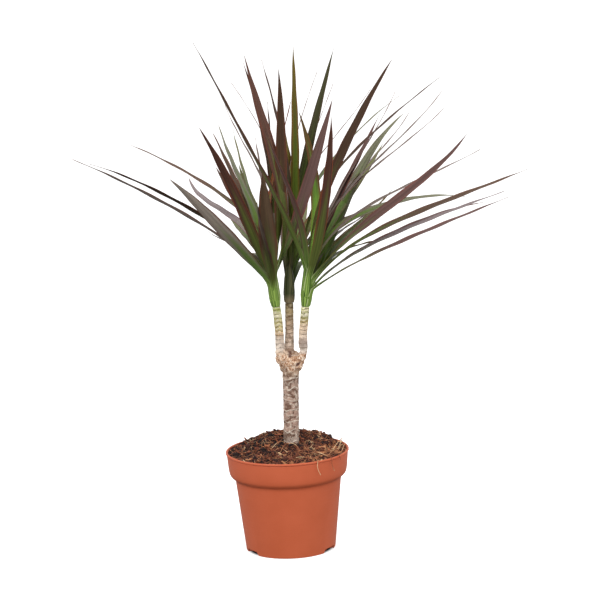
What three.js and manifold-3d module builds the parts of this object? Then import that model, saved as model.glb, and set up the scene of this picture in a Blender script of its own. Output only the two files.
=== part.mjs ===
// A potted dracaena marginata: an orange nursery pot, its root ball, one woody stump that
// branched into three canes at a callus knob, and a leafy head on each cane.
// Millimetres, +Z up. The origin is the centre of the pot's foot, on its underside, and the
// plant is seen from -Y with +X to the right.
import * as THREE from "three";
import { mergeGeometries, mergeVertices } from "three/addons/utils/BufferGeometryUtils.js";
import Module from "manifold-3d";

const wasm = await Module();
wasm.setup();

// ---- Driving dimensions ----

const GAP = 0.35; // between neighbouring pieces
const SCRAP = 1; // cubic millimetres: the largest loose crumb that fusing may leave
const CUT_MARGIN = 2; // a cutter reaches this far past what it cuts

// Pot: a 12 cm nursery pot, thin moulded plastic.
const POT_HEIGHT = 98.2;
const POT_FOOT_R = 43.8;
const POT_BODY_TOP_R = 51.7; // where the cone meets the shoulder
const POT_BODY_TOP_Z = 70;
const COLLAR_FOOT_R = 57.9;
const COLLAR_FOOT_Z = 80;
const COLLAR_TOP_R = 59.5;
const BEAD_R = 60.2; // the thin bead round the lip
const BEAD_HEIGHT = 2.2;
const WALL = 1.3;
const FLOOR = 1.8;
const POT_ROUND = 0.6; // the rounding of its corners
const POT_SIDES = 56;
const NOTCH_HEIGHT = 4;
const NOTCH_SPAN = 30; // degrees
const NOTCH_AT = [-150, -30, 90]; // degrees round from +X: two to the front, one behind
const NOTCH_INNER_R = 38.4; // the drain slot reaches this far in under the corner

// The shoulder under the collar: its bends, as far out from and above the top of the cone.
const SHOULDER = [
  [0.9, 1.9],
  [3.6, 3.8],
  [5.3, 6],
];

// Root ball: coir and peat, heaped towards the stump and higher behind it.
const SOIL_EDGE_Z = 97;
const SOIL_SHORE = 0.17; // the heap starts within this share of the radius
const SOIL_DOME = 6;
const SOIL_SIDES = 44;
const SOIL_RINGS = 9;

// Mounds on the heap: each one's middle, its spread and its height.
const SOIL_MOUNDS = [
  [0, 30, 20, 8],
  [31, 24, 13, 5],
  [-30, 22, 13, 2.5],
];

// Soft lumps on the heap: waves across x and y in radians a millimetre, a start and a height.
const SOIL_LUMPS = [
  [0.31, 0.27, 1.3, 0.8],
  [0.19, -0.33, 2, 0.7],
  [0.43, 0.39, 0, 0.4],
];

// Stump, knob and canes.
const STUMP_R = 7.6;
const STUMP_FOOT_Z = 36; // planted depth
const STUMP_HOLE_R = 8.3;
const CANE_R = 4.1;
const CANE_APPROACH = 12; // a cane's last stretch is in line with the shoot that it carries
const STUMP_SIDES = 18;
const STUMP_STEPS = 26;
const HOLE_SIDES = 24;
const CANE_SIDES = 12;
const CANE_STEPS = 12;

// The stump's middle line, from its foot to inside the knob.
const STUMP_LINE = [
  [4.2, 4, STUMP_FOOT_Z],
  [4.2, 4, 80],
  [4.3, 4, 105],
  [4.9, 4, 121],
  [5.6, 4, 146],
  [6.2, 4.6, 168],
  [7, 5.5, 184],
];
const STUMP_BARE_AT = 0.52; // above this share of its length it is out of the soil and uneven
const STUMP_FLARE = 1.2; // how much wider it gets where it enters the knob
const STUMP_FLARE_AT = 0.88;

const KNOB_MIDDLE = [7, 6, 184.5];
const KNOB_SIZE = [13.6, 10.6, 11.6];
const KNOB_FLARE = 0.16; // broader at the top, where the canes leave

// Where each cane leaves the knob and how it climbs.
const CANE_LINES = {
  left: [
    [0, 5, 184],
    [-2.6, 4.4, 196],
    [-3.2, 4.4, 212],
  ],
  middle: [
    [6, 10, 186],
    [6, 13.4, 197],
    [6.7, 13.2, 212],
  ],
  right: [
    [14.5, 5, 184],
    [18.6, 4.4, 195],
    [19.7, 4.4, 211],
  ],
};

// Swellings: waves round a limb and along it, and their height as a share of the radius.
const STUMP_SWELLS = [
  [2, 9, 0.05],
  [5, 31, 0.035],
];
const CANE_SWELLS = [
  [0, 28, 0.045],
  [3, 5, 0.03],
];

// Lumps on the knob: waves across x, y and z of a ball of radius 1, and their height.
const KNOB_LUMPS = [
  [5, 0, 2, 0.07],
  [0, 3, 6, 0.05],
  [7, -4, 0, 0.05],
];

// Leafy heads: where each one's green shoot stands on its cane, and how it leans.
const HEADS = {
  left: { foot: [-5.2, 4, 240], lean: [-0.1, -0.06, 1] },
  middle: { foot: [7.6, 14, 241], lean: [0.03, 0.1, 1] },
  right: { foot: [23.1, 4, 239], lean: [0.12, -0.06, 1] },
};
const SHOOT_R = 4.2;
const SHOOT_LENGTH = 40;
const FIRST_LEAF = 3; // height of the lowest leaf's root above the shoot's foot
const LEAF_SPREAD = 26; // the roots climb over this much of the shoot
const ROOT_R = 1.5; // a root's distance from the shoot's middle
const SHOOT_SWELL = 2.2; // a shoot swells over its foot, where the leaf bases overlap
const SHOOT_TAPER = 0.85; // how much of its radius a shoot loses by its top
const SHOOT_STEPS = 6;

// A blade along its length, from 0 at the root to 1 at the tip.
const LEAF_STEPS = [0, 0.06, 0.15, 0.26, 0.38, 0.51, 0.65, 0.79, 0.92, 1];
const RIB = 0.65; // half its thickness at the rib, near the root
const RIB_THINS = 0.45; // the share of that lost by the tip
const NECK = 0.62; // its width above the root, as a share of its widest
const WIDEST_AT = 0.42;
const CLASP = 0.15; // the share of width that the sheath at the root adds
const CLASP_END = 0.05;
const POINT_POWER = 1.9; // the higher, the later the outline runs in to its point
const FOLD = 10; // degrees by which each half stands up from flat
const FOLD_AT_ROOT = 36; // degrees added there, where it clasps the shoot
const FOLD_END = 0.14;
const BOW_POWER = 5; // a blade bows most in its first third
const BOW_PEAK = 0.535; // what the bow's formula reaches there
const TURNED_BY = 0.55; // a turned blade has all its turn by here

// Leaves that can be told apart from the front, each head from its lowest to its topmost.
// A row gives the tip's place, then how far the blade bows up, how far its outer half sags
// before it turns up, how far it swings sideways, its width, and how many degrees it turns.
const LEAVES = {
  left: [
    [[-31, 185, 339], 12, 3, 0, 10, 45],
    [[-18, -165, 366], 12, 3, -2, 10, -55],
    [[-43, 190, 393], 15, 4, 2, 9, 50],
    [[-192, -20, 393], 16.5, -3, -2, 9, 25],
    [[-88, 110, 356], 40, 8, 20, 10, 0],
    [[-172, -70, 394], 20, -6, 0, 10, 15],
    [[-96, -140, 386], 5, -3, -1, 13, 30],
    [[-12, -170, 393], 4, 2, -1, 17, 20],
    [[-20, 160, 387], 12, 3, -1, 9, 55],
    [[-57, 165, 401], 21, 6, 2, 11, 35],
    [[-142, 60, 396], 29, -3, -9, 10, 0],
    [[-62, 120, 398], 5, 0, -2, 11, 25],
    [[-6, 125, 427], 12, 3, -2, 9, 65],
    [[-68, -120, 429], -2, -2, 5, 13, 0],
    [[-49, 120, 426], 37, 12, -6, 8, 50],
    [[17, 35, 435], 12, 2, 6, 8, -30],
    [[-28, 75, 471], 15, 4, -9, 10, 40],
    [[57, 17, 438], -4, 1, 3, 12, 65],
    [[6, 0, 470], -4, 2, 4, 12, -75],
    [[-26, 5, 483], 20, 2, -4, 12, -50],
  ],
  middle: [
    [[131, 145, 323], 27, 6, 7, 9, 10],
    [[127, 130, 427], 23, -5, 17, 10, -20],
    [[99, 150, 433], 35, 9, 10, 7, -40],
    [[-42, 160, 444], 18, 2, -17, 7, 60],
    [[61, 130, 442], 15, 3, 7, 7, -55],
    [[45, 130, 454], 15, 2, 11, 7, -65],
    [[9, 95, 405], 12, 3, -6, 11, 55],
    [[-10, 85, 472], 17, 5, -8, 9, 50],
    [[61, 62, 483], 5, 1, 4, 11, 15],
    [[21, 25, 491], -4, 0, -2, 11, 15],
  ],
  right: [
    [[187, 80, 329], 39, -11, 9, 10, 20],
    [[201, 40, 328], 13, -7, 6, 8, 10],
    [[215, -70, 348], 7, 0, -3, 10, 20],
    [[215, -30, 348], 12, 0, 15, 9, 20],
    [[240, 0, 364], 19, 1, 2, 11, 20],
    [[200, 50, 379], 28, 3, 7, 9, 0],
    [[139, 170, 406], 31, 8, -1, 8, -30],
    [[170, 130, 430], 29, 8, 1, 8, -20],
    [[170, 100, 416], 29, 6, 7, 8, -15],
    [[180, -50, 407], 7, 9, 3, 12, 50],
    [[129, 100, 412], -12, -8, 21, 13, 15],
    [[122, 110, 433], 16, 5, 0, 7, -35],
    [[163, 60, 450], 33, -1, 17, 7, 0],
    [[104, 90, 412], 8, 2, 1, 11, -10],
    [[52, -105, 433], -3, 1, 5, 13, 25],
    [[-9, -105, 425], 13, 7, 4, 9, -35],
    [[-70, -115, 505], 18, -5, -12, 11, -25],
    [[114, -20, 477], 13, -3, -10, 12, 60],
    [[24, 32, 425], -1, 3, -12, 11, 45],
  ],
};

// Leaves behind, where a row of bearings and heights fills each head's far side.
// from and to are bearings in degrees round from +X, low and high are climbs in degrees.
const FANS = {
  left: { count: 6, from: 97, to: 112, low: 8, high: 40, seed: 53 },
  middle: { count: 6, from: 72, to: 92, low: 6, high: 40, seed: 11 },
  right: { count: 6, from: 52, to: 68, low: 14, high: 40, seed: 59 },
};
const FAN_STRIDE = 0.618034; // spreads neighbours in height apart in bearing
const FAN_LENGTH = [185, 235];
const FAN_BOW = [14, 28];
const FAN_SAG = 4;
const FAN_WIDTH = [9, 12];
const FAN_TURN = 25; // degrees, either way

// ---- Helpers ----

const UP = new THREE.Vector3(0, 0, 1);
const radians = THREE.MathUtils.degToRad;
const smooth = (x) => THREE.MathUtils.smoothstep(x, 0, 1);
const vector = (xyz) => new THREE.Vector3(...xyz);

function finish(color, roughness) {
  return new THREE.MeshStandardMaterial({ color, roughness, metalness: 0 });
}

// A closed geometry as a solid, with shared corners joined and collapsed faces left out.
function solidOf(geometry) {
  const plain = geometry.clone();
  plain.deleteAttribute("normal");
  plain.deleteAttribute("uv");
  const merged = mergeVertices(plain, 1e-4);
  const corners = merged.index.array;
  const triVerts = [];
  for (let i = 0; i < corners.length; i += 3) {
    const [a, b, c] = corners.slice(i, i + 3);
    if (a !== b && b !== c && c !== a) triVerts.push(a, b, c);
  }
  const vertProperties = new Float32Array(merged.attributes.position.array);
  return new wasm.Manifold(
    new wasm.Mesh({ numProp: 3, vertProperties, triVerts: new Uint32Array(triVerts) }),
  );
}

function geometryOf(solid) {
  const { vertProperties, triVerts } = solid.getMesh();
  const geometry = new THREE.BufferGeometry();
  geometry.setAttribute("position", new THREE.BufferAttribute(vertProperties, 3));
  geometry.setIndex(new THREE.BufferAttribute(triVerts, 1));
  geometry.computeVertexNormals();
  return geometry;
}

// One body from many: hollows sealed between them are filled and loose scraps dropped.
function fuse(geometries) {
  const whole = geometries.map(solidOf).reduce((sum, piece) => sum.add(piece));
  const bodies = whole.decompose().sort((a, b) => b.volume() - a.volume());
  if (bodies.length > 1 && bodies[1].volume() > SCRAP) throw new Error("a piece hangs loose");
  return bodies[0];
}

// A profile of [radius, height] points turned round Z.
function turned(profile, sides) {
  const points = profile.map(([r, z]) => new THREE.Vector2(r, z));
  return new THREE.LatheGeometry(points, sides).rotateX(Math.PI / 2);
}

// Moves each vertex of a geometry to the place that a function of it returns.
function reshape(geometry, place) {
  const position = geometry.attributes.position;
  const vertex = new THREE.Vector3();
  for (let i = 0; i < position.count; i++) {
    vertex.fromBufferAttribute(position, i);
    position.setXYZ(i, ...place(vertex));
  }
  return geometry;
}

// A closed round limb along a curve, with its radius given by height share and angle.
function limb(points, radiusAt, sides, steps) {
  const curve = new THREE.CatmullRomCurve3(points.map(vector));
  return reshape(new THREE.CylinderGeometry(1, 1, 1, sides, steps), (v) => {
    const along = v.y + 0.5;
    const middle = curve.getPointAt(along);
    const ahead = curve.getTangentAt(along);
    const across = new THREE.Vector3(1, 0, 0).addScaledVector(ahead, -ahead.x).normalize();
    const deep = across.clone().cross(ahead);
    const radius = radiusAt(along, Math.atan2(v.z, v.x));
    return middle.addScaledVector(across, v.x * radius).addScaledVector(deep, v.z * radius);
  });
}

// 1 and a share more or less, from waves along each of some inputs and their heights.
function uneven(waves, inputs) {
  return waves.reduce((sum, wave) => {
    const phase = inputs.reduce((total, input, i) => total + wave[i] * input, 0);
    return sum + wave.at(-1) * Math.sin(phase);
  }, 1);
}

// A repeatable draw of numbers from 0 to 1.
function draws(seed) {
  let state = seed;
  return () => {
    state = (state * 16807) % 2147483647;
    return state / 2147483647;
  };
}

// ---- Pot ----

// The pot's outer skin between two heights, without its bead: cone, shoulder and collar.
function potSkin(low, high) {
  const { lerp } = THREE.MathUtils;
  const coneR = lerp(POT_FOOT_R, POT_BODY_TOP_R, low / POT_BODY_TOP_Z);
  const up = (high - COLLAR_FOOT_Z) / (POT_HEIGHT - COLLAR_FOOT_Z);
  const bends = SHOULDER.map(([out, above]) => [POT_BODY_TOP_R + out, POT_BODY_TOP_Z + above]);
  return [
    [coneR, low],
    [POT_BODY_TOP_R, POT_BODY_TOP_Z],
    ...bends,
    [COLLAR_FOOT_R, COLLAR_FOOT_Z],
    [lerp(COLLAR_FOOT_R, COLLAR_TOP_R, up), high],
  ];
}

// A rising profile moved inwards, each point square to the line through its neighbours.
function inset(profile, by) {
  return profile.map(([r, z], i) => {
    const [r0, z0] = profile[Math.max(i - 1, 0)];
    const [r1, z1] = profile[Math.min(i + 1, profile.length - 1)];
    const along = new THREE.Vector2(r1 - r0, z1 - z0).normalize();
    return [r - along.y * by, z + along.x * by];
  });
}

// The cutter for one foot notch, which also opens the floor's edge as a drain slot.
function notch(bearing) {
  const half = radians(NOTCH_SPAN / 2);
  const outline = new THREE.Shape();
  outline.absarc(0, 0, POT_FOOT_R + CUT_MARGIN, -half, half, false);
  outline.absarc(0, 0, NOTCH_INNER_R, half, -half, true);
  const cutter = new THREE.ExtrudeGeometry(outline, {
    depth: NOTCH_HEIGHT + CUT_MARGIN,
    bevelEnabled: false,
    curveSegments: 6,
  });
  return cutter.translate(0, 0, -CUT_MARGIN).rotateZ(radians(bearing));
}

function pot() {
  const beadFoot = POT_HEIGHT - BEAD_HEIGHT;
  const outer = [
    [POT_FOOT_R - POT_ROUND, 0],
    ...potSkin(POT_ROUND, beadFoot),
    [BEAD_R, beadFoot + POT_ROUND],
    [BEAD_R, POT_HEIGHT - POT_ROUND],
    [BEAD_R - POT_ROUND, POT_HEIGHT],
  ];
  const inner = inset(potSkin(FLOOR + POT_ROUND, POT_HEIGHT - POT_ROUND), WALL);
  const [floorR] = inner[0];
  const [lipR] = inner.at(-1);
  const profile = [
    [0, 0],
    ...outer,
    [lipR + POT_ROUND, POT_HEIGHT],
    ...inner.reverse(),
    [floorR - POT_ROUND, FLOOR],
    [0, FLOOR],
  ];
  const cuts = NOTCH_AT.map(notch).map(solidOf);
  return cuts.reduce((whole, cut) => whole.subtract(cut), solidOf(turned(profile, POT_SIDES)));
}

// ---- Root ball ----

// The heaped surface: a low dome, mounds behind the stump, and soft lumps.
function soilHeight(x, y) {
  const share = Math.min(1, Math.hypot(x, y) / COLLAR_FOOT_R);
  const mounds = SOIL_MOUNDS.reduce(
    (sum, [middleX, middleY, spread, height]) =>
      sum + height * Math.exp(-((x - middleX) ** 2 + (y - middleY) ** 2) / (2 * spread ** 2)),
    0,
  );
  const lumps = SOIL_LUMPS.reduce(
    (sum, [acrossX, acrossY, start, height]) =>
      sum + height * Math.sin(acrossX * x + acrossY * y + start),
    0,
  );
  const rise = SOIL_DOME * (1 - share ** 2) + mounds + lumps;
  return SOIL_EDGE_Z + rise * smooth((1 - share) / SOIL_SHORE);
}

function rootBall() {
  const side = inset(potSkin(FLOOR + POT_ROUND, SOIL_EDGE_Z), WALL + GAP);
  const [footR] = side[0];
  const [edgeR] = side.at(-1);
  side[side.length - 1] = [edgeR, SOIL_EDGE_Z];
  const rings = Array.from({ length: SOIL_RINGS }, (_, i) => [
    edgeR * (1 - (i + 1) / SOIL_RINGS),
    SOIL_EDGE_Z,
  ]);
  const profile = [[0, FLOOR + GAP], [footR - POT_ROUND, FLOOR + GAP], ...side, ...rings];
  const onTop = ({ z }) => z === Math.fround(SOIL_EDGE_Z);
  const ball = reshape(turned(profile, SOIL_SIDES), (v) =>
    onTop(v) ? [v.x, v.y, soilHeight(v.x, v.y)] : v,
  );
  const [[x, y]] = STUMP_LINE;
  const holeLine = [[x, y, STUMP_FOOT_Z - GAP], ...STUMP_LINE.slice(1, 4)];
  const hole = limb(holeLine, () => STUMP_HOLE_R, HOLE_SIDES, 4);
  return solidOf(ball).subtract(solidOf(hole));
}

// ---- Stump, knob and canes ----

// The stump is plain where it is buried, and has low lengthwise swellings above.
function stumpRadius(along, angle) {
  const bare = smooth((along - STUMP_BARE_AT) * STUMP_SIDES);
  const swelling = uneven(STUMP_SWELLS, [angle, along]) - 1;
  const flare = STUMP_FLARE * smooth((along - STUMP_FLARE_AT) / (1 - STUMP_FLARE_AT));
  return STUMP_R * (1 + bare * swelling) + flare;
}

function knob() {
  return reshape(new THREE.SphereGeometry(1, 20, 14), (v) => {
    const lumps = uneven(KNOB_LUMPS, v.toArray());
    const wider = 1 + KNOB_FLARE * v.z;
    const [width, depth, height] = KNOB_SIZE;
    const place = vector([width * v.x * wider, depth * v.y * wider, height * v.z]);
    return place.multiplyScalar(lumps).add(vector(KNOB_MIDDLE));
  });
}

function cane(name) {
  const stem = vector(HEADS[name].lean).normalize();
  const end = vector(HEADS[name].foot).addScaledVector(stem, -GAP);
  const before = end.clone().addScaledVector(stem, -CANE_APPROACH);
  const line = [...CANE_LINES[name], before.toArray(), end.toArray()];
  const radius = (along, angle) => CANE_R * uneven(CANE_SWELLS, [angle, along]);
  return limb(line, radius, CANE_SIDES, CANE_STEPS);
}

function trunk() {
  const stump = limb(STUMP_LINE, stumpRadius, STUMP_SIDES, STUMP_STEPS);
  return fuse([stump, knob(), ...Object.keys(HEADS).map(cane)]);
}

// ---- Leafy heads ----

// The share of its width that a blade has: narrow above the root, then widest, then a fine point.
function widthShare(t) {
  const body = NECK + (1 - NECK) * smooth(t / WIDEST_AT) + CLASP * Math.exp(-((t / CLASP_END) ** 2));
  const past = THREE.MathUtils.clamp((t - WIDEST_AT) / (1 - WIDEST_AT), 0, 1);
  return body * (1 - past ** POINT_POWER);
}

// How far each half of the blade stands up from flat: a channel round the shoot.
function foldAt(t) {
  return radians(FOLD + FOLD_AT_ROOT * Math.exp(-((t / FOLD_END) ** 2)));
}

// The blade's middle line and its directions at t, from 0 at the root to 1 at the tip.
function leafLine(root, leaf) {
  const chord = leaf.tip.clone().sub(root);
  const side = UP.clone().cross(chord).normalize();
  const lift = chord.clone().cross(side).normalize();
  return (t) => {
    const bow = leaf.bow * ((1 - (1 - t) ** BOW_POWER - t) / BOW_PEAK);
    const bowSlope = leaf.bow * ((BOW_POWER * (1 - t) ** (BOW_POWER - 1) - 1) / BOW_PEAK);
    const sag = leaf.sag * 6 * (t ** 4 - t ** 3);
    const sagSlope = leaf.sag * 6 * (4 * t ** 3 - 3 * t ** 2);
    const middle = root
      .clone()
      .addScaledVector(chord, t)
      .addScaledVector(lift, bow + sag)
      .addScaledVector(side, leaf.swing * 4 * t * (1 - t));
    const ahead = chord
      .clone()
      .addScaledVector(lift, bowSlope + sagSlope)
      .addScaledVector(side, leaf.swing * 4 * (1 - 2 * t))
      .normalize();
    const across = side.clone().addScaledVector(ahead, -ahead.dot(side)).normalize();
    const above = ahead.clone().cross(across);
    const turn = radians(leaf.turn) * smooth(t / TURNED_BY);
    return {
      middle,
      across: across.clone().multiplyScalar(Math.cos(turn)).addScaledVector(above, Math.sin(turn)),
      above: above.clone().multiplyScalar(Math.cos(turn)).addScaledVector(across, -Math.sin(turn)),
    };
  };
}

// One face of a blade, folded along its rib. thickness is the rib's height over the middle
// line, and is below it on the lower face. Both faces meet at the edges, root and tip.
function leafFace(line, leaf, thickness) {
  const steps = LEAF_STEPS.length - 1;
  return reshape(new THREE.PlaneGeometry(2, 1, 2, steps), (v) => {
    const t = LEAF_STEPS[Math.round((v.y + 0.5) * steps)];
    const { middle, across, above } = line(t);
    const half = (leaf.width / 2) * widthShare(t);
    const fold = foldAt(t);
    const ends = t === 0 || t === 1 ? 0 : 1 - RIB_THINS * t;
    return middle
      .addScaledVector(across, v.x * half * Math.cos(fold))
      .addScaledVector(above, Math.abs(v.x) * half * Math.sin(fold))
      .addScaledVector(above, (1 - Math.abs(v.x)) * thickness * ends);
  });
}

function blade(root, leaf) {
  const line = leafLine(root, leaf);
  const upper = leafFace(line, leaf, RIB);
  const lower = leafFace(line, leaf, -RIB);
  upper.index.array.reverse();
  return mergeGeometries([upper, lower]);
}

// Leaves set out by rule behind a head, from the lowest to the highest.
function fanOf(head, fan) {
  const draw = draws(fan.seed);
  const between = ([low, high]) => low + (high - low) * draw();
  return Array.from({ length: fan.count }, (_, i) => {
    const share = i / (fan.count - 1);
    const place = (i * FAN_STRIDE + FAN_STRIDE / 2) % 1;
    const bearing = radians(fan.from + (fan.to - fan.from) * place);
    const climb = radians(fan.low + (fan.high - fan.low) * share);
    const reach = between(FAN_LENGTH);
    const tip = vector(head.foot).add(
      new THREE.Vector3(
        Math.cos(bearing) * Math.cos(climb),
        Math.sin(bearing) * Math.cos(climb),
        Math.sin(climb),
      ).multiplyScalar(reach),
    );
    const bow = between(FAN_BOW);
    const width = between(FAN_WIDTH);
    const turn = FAN_TURN * (2 * draw() - 1);
    return { tip, bow, sag: FAN_SAG, swing: 0, width, turn };
  });
}

function leavesOf(name) {
  const rows = LEAVES[name].map(([tip, bow, sag, swing, width, turn]) => ({
    tip: vector(tip),
    bow,
    sag,
    swing,
    width,
    turn,
  }));
  return [...fanOf(HEADS[name], FANS[name]), ...rows];
}

function head(name) {
  const { foot, lean } = HEADS[name];
  const stem = vector(lean).normalize();
  const base = vector(foot);
  const top = base.clone().addScaledVector(stem, SHOOT_LENGTH);
  const middle = base.clone().lerp(top, 0.5);
  const line = [base, middle, top].map((point) => point.toArray());
  const radius = (along) =>
    SHOOT_R * (1 + SHOOT_SWELL * along * (1 - along) - SHOOT_TAPER * along ** 3);
  const shoot = limb(line, radius, CANE_SIDES, SHOOT_STEPS);
  const leaves = leavesOf(name);
  const blades = leaves.map((leaf, i) => {
    const out = leaf.tip.clone().sub(base).setZ(0).normalize();
    const height = FIRST_LEAF + (LEAF_SPREAD * i) / (leaves.length - 1);
    const root = base.clone().addScaledVector(stem, height).addScaledVector(out, ROOT_R);
    return blade(root, leaf);
  });
  return fuse([shoot, ...blades]);
}

// ---- The plant ----

const terracotta = finish(0xc0623c, 0.45);
const coir = finish(0x4a3226, 0.95);
const bark = finish(0x9b8a72, 0.85);
const foliage = finish(0x4b3a2c, 0.5);

function named(name, solid, material) {
  const mesh = new THREE.Mesh(geometryOf(solid), material);
  mesh.name = name;
  return mesh;
}

const plant = new THREE.Group();
plant.name = "potted_dracaena";
plant.add(named("pot", pot(), terracotta));
plant.add(named("soil", rootBall(), coir));
plant.add(named("trunk", trunk(), bark));
for (const name of Object.keys(HEADS)) {
  plant.add(named(`head_${name}`, head(name), foliage));
}

export default plant;
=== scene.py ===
"""A potted dracaena marginata: an orange nursery pot, its root ball of coir, a woody stump with
three canes that grew from a callus knob, and a narrow-leaved head on each cane.

Lengths are millimetres in the tables and formulas below and metres in Blender, +Z up. The
origin is the centre of the pot's foot, and the plant is seen from -Y with +X to the right.
"""

import math
import random

import bpy
import numpy as np
from mathutils import Matrix, Vector, noise


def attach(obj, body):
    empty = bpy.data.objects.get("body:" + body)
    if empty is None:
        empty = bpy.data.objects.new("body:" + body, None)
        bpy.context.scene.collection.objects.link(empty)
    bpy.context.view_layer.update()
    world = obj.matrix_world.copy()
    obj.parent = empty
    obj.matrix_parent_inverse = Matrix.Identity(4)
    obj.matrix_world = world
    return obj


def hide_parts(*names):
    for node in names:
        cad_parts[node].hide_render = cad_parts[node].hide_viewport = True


bl_info = {
    "name": "Potted Dracaena Marginata",
    "version": (1, 0, 0),
    "blender": (4, 5, 0),
    "location": "View3D > Sidebar > Plant",
    "description": "Models a dragon tree house plant in its nursery pot, piece by piece",
    "category": "Add Mesh",
}

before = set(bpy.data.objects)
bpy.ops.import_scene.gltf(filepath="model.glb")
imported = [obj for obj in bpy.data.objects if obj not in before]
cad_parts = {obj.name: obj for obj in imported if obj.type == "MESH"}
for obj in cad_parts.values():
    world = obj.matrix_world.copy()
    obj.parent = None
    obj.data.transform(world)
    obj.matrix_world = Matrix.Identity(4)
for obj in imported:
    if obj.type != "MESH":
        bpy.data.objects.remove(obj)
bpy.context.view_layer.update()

MM = 0.001
TAU = math.tau
UP = Vector((0, 0, 1))

# ---- The pot's sizes ----

POT_HEIGHT = 98.2
POT_FOOT_R = 43.8
POT_BODY_TOP_R = 51.7
POT_BODY_TOP_Z = 70
COLLAR_FOOT_R = 57.9
COLLAR_FOOT_Z = 80
COLLAR_TOP_R = 59.5
BEAD_R = 60.2
BEAD_HEIGHT = 2.2
SHOULDER = [(0.9, 1.9), (3.6, 3.8), (5.3, 6)]  # how far out and up from the top of the cone
WALL = 1.3
INSIDE_R = COLLAR_TOP_R - WALL
FLOOR = 1.8
FOOT_RECESS = 0.7  # the middle of the underside is lifted off the floor
FOOT_RECESS_R = 34
POT_SIDES = 180
NOTCH_HEIGHT = 4
NOTCH_SPAN = 30
NOTCH_AT = (-150, -30, 90)
NOTCH_INNER_R = 38.4
NOTCH_TOP_SHARE = 0.72  # a notch's ends slope, so it is narrower at its top
GAP = 0.35

# How much of its length each corner gives up to its rounding: the outer skin from the foot up,
# and the inner skin from the lip down.
OUTER_ROUNDS = (0.7, 2.5, 1, 2, 1.5, 2)
INNER_ROUNDS = (1, 1.5, 2, 2, 2, 3, 0)
# The fine groove under the bead, corner by corner: how far out and up from the collar's top,
# and its rounding.
GROOVE = [(0, -0.6, 0.2), (-0.35, -0.3, 0.2), (-0.35, 0.1, 0.2)]
BEAD_FOOT_UP = 0.4
BEAD_ROUNDS = (0.5, 1.0, 0.8)  # its foot, its outer edge and the lip's inner edge
RECESS_SLOPE = 1.5

# ---- The root ball's sizes ----

SOIL_EDGE_Z = 97
SOIL_SHORE = 0.17  # the share of the radius over which the heap rises from the pot's wall
SOIL_DOME = 6
SOIL_MOUNDS = [(0, 30, 20, 8), (31, 24, 13, 5), (-30, 22, 13, 2.5)]  # x, y, spread, height
SOIL_LUMPS = [(0.31, 0.27, 1.3, 0.8), (0.19, -0.33, 2, 0.7), (0.43, 0.39, 0, 0.4)]
SOIL_SIDES = 220
SOIL_RINGS = 80
# The loose surface: how wide each size of unevenness is, how high, and where its noise starts.
CRUMBLES = [(7, 1.5, (0, 0, 0)), (3.1, 1.0, (5, 9, 2)), (1.3, 0.5, (11, 3, 7))]
CRUMBLE_SINK = 0.5
CRUMBLE_SHORE = 6

# Loose bits on the heap: the seed of their places, their smallest and largest radius, and as
# shares of that radius how far they are lifted and how flat they are.
BITS_R = INSIDE_R - 0.6  # how far out they may reach
BITS_SPAN = 58
BITS = {
    "peat_crumbs": {"seed": 21, "size": (0.5, 1.6), "lift": 0.2, "flat": (0.5, 1.0)},
    "peat_clods": {"seed": 22, "size": (1.2, 2.7), "lift": 0.1, "flat": (0.5, 1.0)},
    "husk_chips": {"seed": 23, "size": (0.9, 2.0), "lift": 0.5, "flat": (0.7, 1.2)},
}
SMALLNESS = 2.2  # the higher it is, the fewer large bits there are
# Where the bits are darker, left of the stump, and in front of it as painted shade for the stump's
# shadow: the place, the square of its reach, and how much darker.
DARK_AND_SHADED_PATCHES = [((-18, 2), 400, 0.35), ((2, -15), 90, 0.4)]
CHIP_SIZE = (1.9, 0.55, 0.22)

# Loose fibres, and the stouter arches among them: their spread over the heap, their lengths, how
# high they arch, their radii and how pale they are.
FIBRE_SEED = 31
FIBRE_SPAN = 55
FIBRE_LENGTH = (3, 17)
FIBRE_LIFT = (-0.4, 1.8)
FIBRE_STEPS = 5
FIBRE_RADII = (0.15, 0.2, 0.12)
FIBRE_PALE = 0.55
ARCH_RADIUS = 0.3
ARCH_PALE = 0.85
STUMP_IN_SOIL = (4, 4)  # no loose fibre starts near this point

# ---- Stump, knob and canes ----

STUMP_R = 7.6
STUMP_FOOT_Z = 36
CANE_R = 4.1
CANE_APPROACH = 12
# How much wider the stump and a cane are at each point of their lines.
STUMP_SPREAD = (0, 0, 0, 0, 0, 0.4, 1.2)
CANE_SPREAD = (1.2, 0.7, 0.15, 0.1, 0)
STUMP_LINE = [
    (4.2, 4, STUMP_FOOT_Z),
    (4.2, 4, 80),
    (4.3, 4, 105),
    (4.9, 4, 121),
    (5.6, 4, 146),
    (6.2, 4.6, 168),
    (7, 5.5, 184),
]
KNOB_MIDDLE = (7, 6, 184.5)
KNOB_SIZE = (13.6, 10.6, 11.6)
KNOB_FLARE = 0.16
CANES_FROM = 192  # the height over which a point of the wood belongs to a cane
CALLUS_FOOT = (173, 180)  # the heights over which bark turns to callus
CALLUS_TOP = (191, 197)  # and callus to bark again
RELIEF_TOP = (236, 238)  # the bark's relief dies out here, just under the shoots
STUMP_AXIS = (5, 4.5)
STUMP_FIRST_RING = 0.72
STUMP_SHADE = (174, 0.94)  # the height under which the bark is darker, and how much is left
CANE_LINES = {
    "left": [(0, 5, 184), (-2.6, 4.4, 196), (-3.2, 4.4, 212)],
    "middle": [(6, 10, 186), (6, 13.4, 197), (6.7, 13.2, 212)],
    "right": [(14.5, 5, 184), (18.6, 4.4, 195), (19.7, 4.4, 211)],
}

# ---- Leafy heads ----

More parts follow.
